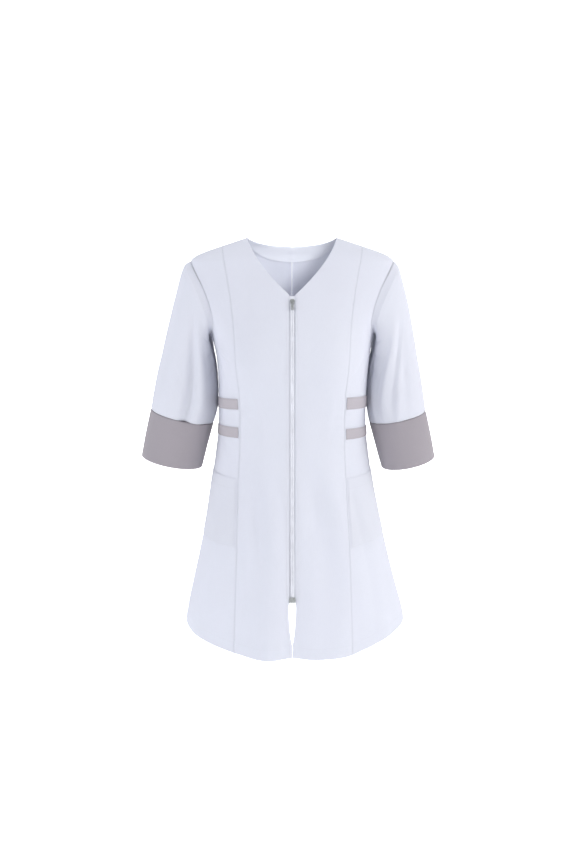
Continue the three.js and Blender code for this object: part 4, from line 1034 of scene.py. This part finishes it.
# The row at which each column of a panel passes a height.
def rowAtHeight(panel, column, z):
    heights = panel[0][:, :, 2]
    found = np.empty(len(column))
    for k, (c, at) in enumerate(zip(column, np.broadcast_to(z, column.shape))):
        j = min(int(c), heights.shape[1] - 2)
        line = mix(heights[:, j], heights[:, j + 1], c - j)
        found[k] = np.interp(-at, -line, np.arange(len(line)))
    return found


tabs = [  # level, side, then top and bottom heights at the princess seam and at the side seam
    ("upper", "right", -311, -333, -322, -344), ("lower", "right", -370, -391, -377, -398),
    ("upper", "left", -308, -333, -319, -343), ("lower", "left", -373, -394, -381, -401),
]
# Edges turned in over a width, and the line stitched beside them: how far in, half width, depth
tab = {
    "turned": 1.4, "wall": cloth["trim"] + 0.3, "lineIn": 2.2, "lineHalf": 0.7, "lineDeep": 0.28,
    "steps": (10 * fine, 30 * fine),
}
pocket = {
    "heights": (-471, -604, -471, -601), "margin": 0.035, "wall": 0.7, "off": 0.15, "turned": 1.6,
    "lineIn": 2.4, "lineHalf": 0.8, "lineDeep": 0.15, "hem": 20, "hemHalf": 1.2,
    "sag": 0.35, "sagReach": 14, "steps": (46 * fine, 34 * fine),
}
facing = {
    "deep": 40, "share": 0.98, "firstRow": 0.35, "turned": 1.2,
    "ridge": 0.5, "ridgeHalf": 5.0, "groove": 0.45, "grooveHalf": 1.1,
    "steps": (18 * fine, 34 * fine),
}


# A grid laid on the front side panel between two lines, given at the princess and side seams.
def patch(side, heights, steps):
    panel = panels[f"frontSide_{side}"]
    last = panel[0].shape[1] - 1
    column = np.linspace(pocket["margin"], 1 - pocket["margin"], steps[1]) * last
    share = column / last
    frontTop, frontBottom, sideTop, sideBottom = heights
    top = rowAtHeight(panel, column, mix(frontTop, sideTop, share))
    bottom = rowAtHeight(panel, column, mix(frontBottom, sideBottom, share))
    row = mix(top, bottom, np.linspace(0, 1, steps[0])[:, None])
    return onPanel(panel, row, np.broadcast_to(column, row.shape))


# Full in the middle and lower at the turned edges, over a given width in mm.
def pillow(points, turned):
    fromEdge = lengths(points)
    edge = np.minimum.reduce([fromEdge[name] for name in ("left", "right", "top", "bottom")])
    return edge, np.sqrt(np.clip(edge / turned, 0.08, 1))


for level, side, *heights in tabs:
    points, out = patch(side, heights, tab["steps"])
    edge, full = pillow(points, tab["turned"])
    lie = cloth["wall"] / 2 + cloth["off"] + tab["wall"] / 2
    sunk = tab["lineDeep"] * np.exp(-((edge - tab["lineIn"]) / tab["lineHalf"]) ** 2)
    points = points + out * (lie - sunk)[..., None]
    panels[f"tab_{level}_{side}"] = (points, out)
    obj = shell(f"waistTab_{level}_{side}", points, out, tab["wall"] * full, finish["grey"])
    declareCloth(obj, points, f"waist_tab_{level}_{side}")

for side in ("right", "left"):
    points, out = patch(side, pocket["heights"], pocket["steps"])
    edge, full = pillow(points, pocket["turned"])
    top = lengths(points)["top"]
    atHem = np.exp(-((top - pocket["hem"]) / pocket["hemHalf"]) ** 2)
    atEdge = np.exp(-((edge - pocket["lineIn"]) / pocket["lineHalf"]) ** 2)
    sunk = pocket["lineDeep"] * atHem + pocket["lineDeep"] * atEdge
    across = np.sin(np.pi * np.linspace(0, 1, points.shape[1]))[None, :]
    sag = pocket["sag"] * np.exp(-(top / pocket["sagReach"]) ** 2) * across
    points = points + out * (cloth["wall"] / 2 + pocket["off"] + pocket["wall"] / 2 + sag - sunk)[..., None]
    panels[f"pocket_{side}"] = (points, out)
    obj = shell(f"sidePocket_{side}", points, out, pocket["wall"] * full, finish["white"])
    declareCloth(obj, points, f"pocket_{side}")


# A band inside the back neck, of one depth, joined at the centre back.
def facingGrid():
    halves = []
    for side in ("right", "left"):
        panel = panels[f"backPanel_{side}"]
        column = np.linspace(0, facing["share"] * neckShare["back"] * gridSteps["centre"], facing["steps"][1])
        top = lengths(panel[0])["top"]
        steps = np.arange(len(top))
        bottom = np.array([np.interp(facing["deep"], top[:, int(round(c))], steps) for c in column])
        row = mix(facing["firstRow"], bottom, np.linspace(0, 1, facing["steps"][0])[:, None])
        halves.append(onPanel(panel, row, np.broadcast_to(column, row.shape)))
    return [np.concatenate([a[:, ::-1], b[:, 1:]], 1) for a, b in zip(*halves)]


points, out = facingGrid()
_, full = pillow(points, facing["turned"])
ridge = facing["ridge"] * np.exp(-(points[..., 0] / facing["ridgeHalf"]) ** 2)
ridge -= facing["groove"] * np.exp(-(points[..., 0] / facing["grooveHalf"]) ** 2)
points = points - out * (cloth["wall"] / 2 + cloth["off"] + cloth["trim"] / 2 + ridge)[..., None]
obj = shell("backNeckFacing", points, out, cloth["trim"] * full, finish["facing"])
declareCloth(obj, points, "back_neck_facing")
print("tabs, pockets and facing made")

# Zip: tapes, teeth, and the metal pieces

zipSizes = {
    "top": -110, "bottom": -697, "half": 15, "teethTop": -124.5, "teethBottom": -696, "pitch": 1.55,
    "low": -0.6, "high": 1.0, "firstTooth": 0.4, "lastTooth": 0.5, "toothSamples": 4000,
    "tapeOff": 0.25, "tapeFrom": 0.2, "tapeRows": 150 * fine, "tapeColumns": 7,
    "coilAt": 2.0, "coilHalf": 1.35, "coilHigh": 0.72, "coilPinch": 0.12, "coilSides": 10,
    "coilRows": 340 * fine,
}


# The middle of the zip at each height, with its outward direction and the way down it.
def zipLine(z):
    point, out = bodyPoint(np.full(len(z), 90.0), z)
    point[:, 0], out[:, 0] = 0, 0
    down = unit(np.gradient(point, axis=0) * np.sign(z[-1] - z[0]) * -1)
    return point, unit(out), down


# The tape lies inside the front's edge: across from the middle, at one depth below the cloth.
def tapeGrid(side):
    panel = panels[f"frontCentre_{side}"]
    z = np.linspace(zipSizes["top"], zipSizes["bottom"], zipSizes["tapeRows"])
    middle, out, _ = zipLine(z)
    sign = -1 if side == "right" else 1
    columns = zipSizes["tapeColumns"]
    across = np.linspace(zipSizes["tapeFrom"], zipSizes["half"], columns)
    heights = panel[0][:, 0, 2]
    row = np.interp(-z, -heights, np.arange(len(heights)))
    reach = lengths(panel[0])["left"]
    points, outs = np.empty((len(z), columns, 3)), np.empty((len(z), columns, 3))
    for k, x in enumerate(across):
        if x < halfGap:
            point = middle.copy()
            point[:, 0] = sign * x
            points[:, k], outs[:, k] = point, out
            continue
        i = np.clip(row.astype(int), 0, reach.shape[0] - 2)
        step = reach[i, 1]
        points[:, k], outs[:, k] = onPanel(panel, row, (x - halfGap) / step)
    return points, outs


for side in ("right", "left"):
    points, out = tapeGrid(side)
    lie = cloth["wall"] / 2 + cloth["off"] + zipSizes["tapeOff"] + cloth["tape"] / 2
    points = points - out * lie
    obj = shell(f"zipTape_{side}", points, out, cloth["tape"], finish["tape"])
    declareCloth(obj, points, f"zip_tape_{side}")


# Many copies of one small shape: base points are (along, across, out) in each place's own axes.
def repeated(name, base, faces, places, axes, material):
    along, across, out = axes
    points = (places[:, None, :] + base[None, :, 0:1] * along[:, None, :]
              + base[None, :, 1:2] * across[:, None, :] + base[None, :, 2:3] * out[:, None, :])
    count, size = points.shape[:2]
    every = []
    for sides in {len(f) for f in faces}:
        kind = np.array([f for f in faces if len(f) == sides])
        every += (kind[None] + (np.arange(count) * size)[:, None, None]).reshape(-1, sides).tolist()
    mesh = bpy.data.meshes.new(name)
    mesh.from_pydata((points.reshape(-1, 3) / 1000).tolist(), [], every)
    mesh.polygons.foreach_set("use_smooth", np.ones(len(mesh.polygons), bool))
    mesh.set_sharp_from_angle(angle=math.radians(sharpAngle["zip"]))
    return linked(name, mesh, material)


# Faces of a closed bar of rings, wound so that they point outwards.
def barFaces(rings, sides):
    faces = []
    for r in range(rings - 1):
        for s in range(sides):
            t = (s + 1) % sides
            faces.append((r * sides + s, r * sides + t, (r + 1) * sides + t, (r + 1) * sides + s))
    faces.append(tuple(range(sides))[::-1])
    faces.append(tuple((rings - 1) * sides + s for s in range(sides)))
    return faces


# A rounded bar: each station is (place along it, half width, half height, height of its middle).
def bar(stations, sides):
    turn = np.arange(sides) * 2 * np.pi / sides
    rings = [np.stack([np.full(sides, at), wide * np.cos(turn), middle + high * np.sin(turn)], -1)
             for at, wide, high, middle in stations]
    return np.concatenate(rings)


# On each side a rounded strip of coil and sewing under the teeth: a half ellipse carried down the zip,
# pinched a little at every stitch.
def zipCoilRows():
    z = np.linspace(zipSizes["teethTop"], zipSizes["teethBottom"], zipSizes["coilRows"])
    point, out, down = zipLine(z)
    run = np.concatenate([[0], np.cumsum(np.linalg.norm(np.diff(point, axis=0), axis=1))])
    pinch = 1 - zipSizes["coilPinch"] * (0.5 + 0.5 * np.cos(2 * np.pi * run / (2 * zipSizes["pitch"])))
    sides = zipSizes["coilSides"]
    turn = np.linspace(0, 2 * np.pi, sides, endpoint=False)
    for side, sign in (("right", -1), ("left", 1)):
        across = sign * (zipSizes["coilAt"] + zipSizes["coilHalf"] * np.cos(turn))
        up = zipSizes["coilHigh"] * np.sin(turn)[None, :] * pinch[:, None]
        sideways = np.array([1.0, 0, 0]) * across[None, :, None]
        points = point[:, None, :] + sideways + out[:, None, :] * up[..., None]
        ids = np.arange(len(z) * sides).reshape(len(z), sides)
        a, b = ids[:-1], ids[1:]
        faces = np.stack([a, np.roll(a, -1, 1), np.roll(b, -1, 1), b], -1).reshape(-1, 4)
        if sign < 0:
            faces = faces[:, ::-1]
        ends = [tuple(ids[0, ::-sign]), tuple(ids[-1, ::sign])]
        mesh = bpy.data.meshes.new("zipCoil")
        mesh.from_pydata((points.reshape(-1, 3) / 1000).tolist(), [], faces.tolist() + ends)
        mesh.polygons.foreach_set("use_smooth", np.ones(len(mesh.polygons), bool))
        mesh.set_sharp_from_angle(angle=math.radians(sharpAngle["zip"]))
        linked(f"zipCoil_{side}", mesh, finish["teeth"])


toothStations = [  # place along it, half width, share of the full height, how far its middle is moved up
    (-0.75, 0.22, 0.45, 0), (-0.45, 0.4, 0.85, 0), (0.5, 0.36, 0.8, 0), (2.9, 0.33, 0.92, 0),
    (3.5, 0.18, 0.5, -0.1),
]
toothSides = 8


# Two rows of coil elements that reach past each other across the middle of the zip.
def zipTeeth():
    z = np.linspace(zipSizes["teethTop"], zipSizes["teethBottom"], zipSizes["toothSamples"])
    point, out, down = zipLine(z)
    run = np.concatenate([[0], np.cumsum(np.linalg.norm(np.diff(point, axis=0), axis=1))])
    places, axes = [], [[], [], []]
    middle = (zipSizes["low"] + zipSizes["high"]) / 2
    for sign in (-1, 1):
        first = zipSizes["firstTooth"] + (sign > 0) * zipSizes["pitch"] / 2
        at = np.arange(first, run[-1] - zipSizes["lastTooth"], zipSizes["pitch"])
        here, outHere, downHere = (np.stack([np.interp(at, run, g[:, k]) for k in range(3)], -1)
                                   for g in (point, out, down))
        places.append(here)
        axes[0].append(np.tile([sign, 0, 0], (len(at), 1)))
        axes[1].append(downHere * -sign)
        axes[2].append(outHere)
    high = (zipSizes["high"] - zipSizes["low"]) / 2
    base = bar([(at, wide, high * share, middle + up) for at, wide, share, up in toothStations], toothSides)
    stacked = [np.concatenate(a) for a in axes]
    faces = barFaces(len(toothStations), toothSides)
    obj = repeated("zipTeeth", base, faces, np.concatenate(places), stacked, finish["teeth"])
    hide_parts("zip_chain")


zipTeeth()
zipCoilRows()


# A merged copy of a hard piece, with its edges rounded.
def bevelled(nodeName, name, width, body="dress"):
    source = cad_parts[nodeName]
    mesh = source.data.copy()
    whole = bmesh.new()
    whole.from_mesh(mesh)
    bmesh.ops.remove_doubles(whole, verts=whole.verts, dist=1e-6)
    bmesh.ops.dissolve_limit(whole, angle_limit=math.radians(1), verts=whole.verts, edges=whole.edges)
    whole.to_mesh(mesh)
    whole.free()
    obj = bpy.data.objects.new(name, mesh)
    bpy.context.scene.collection.objects.link(obj)
    soft = obj.modifiers.new("bevel", "BEVEL")
    soft.width, soft.segments = width, 3
    soft.limit_method, soft.angle_limit = "ANGLE", math.radians(sharpAngle["metal"])
    soft.harden_normals = False
    mesh.materials.clear()
    mesh.materials.append(finish["metal"])
    mesh.polygons.foreach_set("use_smooth", np.ones(len(mesh.polygons), bool))
    mesh.set_sharp_from_angle(angle=math.radians(sharpAngle["metal"]))
    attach(obj, body)
    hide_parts(nodeName)


bevelled("zip_slider", "zipSlider", 0.00035)  # widths in metres
bevelled("zip_pull", "zipPull", 0.0002, "pull")
bevelled("zip_box", "zipBox", 0.0005)
print("zip made")

# Sewing: rows of short stitches laid on the cloth

stitch = {"pitch": 3.0, "lookAhead": 0.8, "off": 0.02, "fromEnd": 1.0, "frontIn": 5.0, "cuffUp": 3.0}
stitchStations = [  # place along it, half width, half height, height of its middle
    (-1.15, 0.1, 0.06, -0.05), (-0.75, 0.24, 0.17, 0.08), (0.75, 0.24, 0.17, 0.08),
    (1.15, 0.1, 0.06, -0.05),
]
stitchSides = 6
stitchBase = bar(stitchStations, stitchSides)


# Evenly spaced places along a line on the cloth, with the way along, across and out of it.
def stitchPlaces(point, out, wall):
    run = np.concatenate([[0], np.cumsum(np.linalg.norm(np.diff(point, axis=0), axis=1))])
    at = np.arange(stitch["pitch"], run[-1] - stitch["fromEnd"], stitch["pitch"])
    here = np.stack([np.interp(at, run, point[:, k]) for k in range(3)], -1)
    ahead = np.stack([np.interp(at + stitch["lookAhead"], run, point[:, k]) for k in range(3)], -1)
    behind = np.stack([np.interp(at - stitch["lookAhead"], run, point[:, k]) for k in range(3)], -1)
    outHere = unit(np.stack([np.interp(at, run, out[:, k]) for k in range(3)], -1))
    along = unit(ahead - behind)
    across = unit(np.cross(outHere, along))
    return here + outHere * (wall / 2 + stitch["off"]), along, across, np.cross(along, across)


# The line on a panel that stays at a distance from one of its edges.
def lineFrom(panel, edge, distance):
    points, out = panel
    fromEdge = lengths(points)[edge]
    if edge in ("top", "bottom"):
        points, out, fromEdge = points.transpose(1, 0, 2), out.transpose(1, 0, 2), fromEdge.T
    if fromEdge[0, 0] > fromEdge[0, -1]:
        points, out, fromEdge = points[:, ::-1], out[:, ::-1], fromEdge[:, ::-1]
    near = np.argmax(fromEdge >= distance, axis=1)
    near = np.maximum(near, 1)
    rows = np.arange(len(points))
    low, high = fromEdge[rows, near - 1], fromEdge[rows, near]
    t = np.clip((distance - low) / np.maximum(high - low, 1e-6), 0, 1)[:, None]
    return [mix(g[rows, near - 1], g[rows, near], t) for g in (points, out)]


# One piece of sewing from several lines, each with the wall that it lies on.
def sew(name, rows, material):
    made = [stitchPlaces(*line, wall) for line, wall in rows]
    places, along, across, out = (np.concatenate(parts) for parts in zip(*made))
    faces = barFaces(len(stitchStations), stitchSides)
    obj = repeated(name, stitchBase, faces, places, [along, across, out], material)


for side in ("right", "left"):
    centre, outer, back = (panels[f"{n}_{side}"] for n in ("frontCentre", "frontSide", "backPanel"))
    edgeLine = [(lineFrom(centre, "left", stitch["frontIn"]), cloth["wall"])]
    sew(f"frontEdgeStitches_{side}", edgeLine, finish["thread"])
    hemLines = [(lineFrom(p, "bottom", hemLine["up"]), cloth["wall"]) for p in (centre, outer, back)]
    sew(f"hemStitches_{side}", hemLines, finish["thread"])
    patchPanel = panels[f"pocket_{side}"]
    patchLines = [(lineFrom(patchPanel, e, pocket["lineIn"]), pocket["wall"])
                  for e in ("left", "right", "bottom")]
    patchLines.append((lineFrom(patchPanel, "top", pocket["hem"]), pocket["wall"]))
    sew(f"pocketStitches_{side}", patchLines, finish["thread"])
    tabLines = [(lineFrom(panels[f"tab_{level}_{side}"], e, tab["lineIn"]), tab["wall"])
                for level in ("upper", "lower") for e in ("top", "bottom")]
    sew(f"tabStitches_{side}", tabLines, finish["greyThread"])
    sleeve = tuple(np.concatenate([g, g[:, :1]], 1) for g in panels[f"sleeve_{side}"])
    cuffLine = [(lineFrom(sleeve, "bottom", stitch["cuffUp"]), cloth["wall"])]
    sew(f"cuffSeamStitches_{side}", cuffLine, finish["thread"])
print("sewing made")

# Floor and backdrop in one bend


# A sweep: flat floor, a quarter circle, then a wall, carried from side to side.
def makeFloor():
    bend = np.linspace(0, np.pi / 2, studio["bendSteps"])
    radius, wall, low = studio["wallBend"], studio["wallY"], studio["floorZ"]
    y = np.concatenate([[-studio["floorHalf"]], wall - radius + radius * np.sin(bend), [wall]])
    z = np.concatenate([[low], low + radius - radius * np.cos(bend), [low + studio["wallHigh"]]])
    x = np.linspace(-studio["floorHalf"], studio["floorHalf"], 3)
    points = np.stack([*np.broadcast_arrays(x[None, :], y[:, None], z[:, None])], -1)
    rows, columns = points.shape[:2]
    i, j = np.meshgrid(np.arange(rows - 1), np.arange(columns - 1), indexing="ij")
    a = (i * columns + j).ravel()
    faces = np.stack([a, a + 1, a + columns + 1, a + columns], -1)
    mesh = bpy.data.meshes.new("floor")
    mesh.from_pydata(points.reshape(-1, 3).tolist(), [], faces.tolist())
    mesh.polygons.foreach_set("use_smooth", np.ones(len(mesh.polygons), bool))
    material, tree, shader = newMaterial("paleFloor")
    shader.inputs["Base Color"].default_value = (*studio["floorColour"], 1)
    shader.inputs["Roughness"].default_value = studio["floorRough"]
    shader.inputs["Emission Color"].default_value = (1, 1, 1, 1)
    # The floor lights the hem a little but shows as plain white
    camera = node(tree, "LightPath").outputs["Is Camera Ray"]
    seen = maths(tree, "MULTIPLY_ADD", camera, studio["floorSeen"], studio["floorGlow"])
    tree.links.new(seen, shader.inputs["Emission Strength"])
    mesh.materials.append(material)
    floor = bpy.data.objects.new("floor", mesh)
    bpy.context.scene.collection.objects.link(floor)


makeFloor()
for name in neckPieces:
    bpy.data.collections["neckPieces"].objects.link(bpy.data.objects[name])
for name, (wide, long, area) in sorted(cutSizes.items()):
    print(f"cut {name}: {wide:.3f} x {long:.3f} m, {area:.4f} m2")
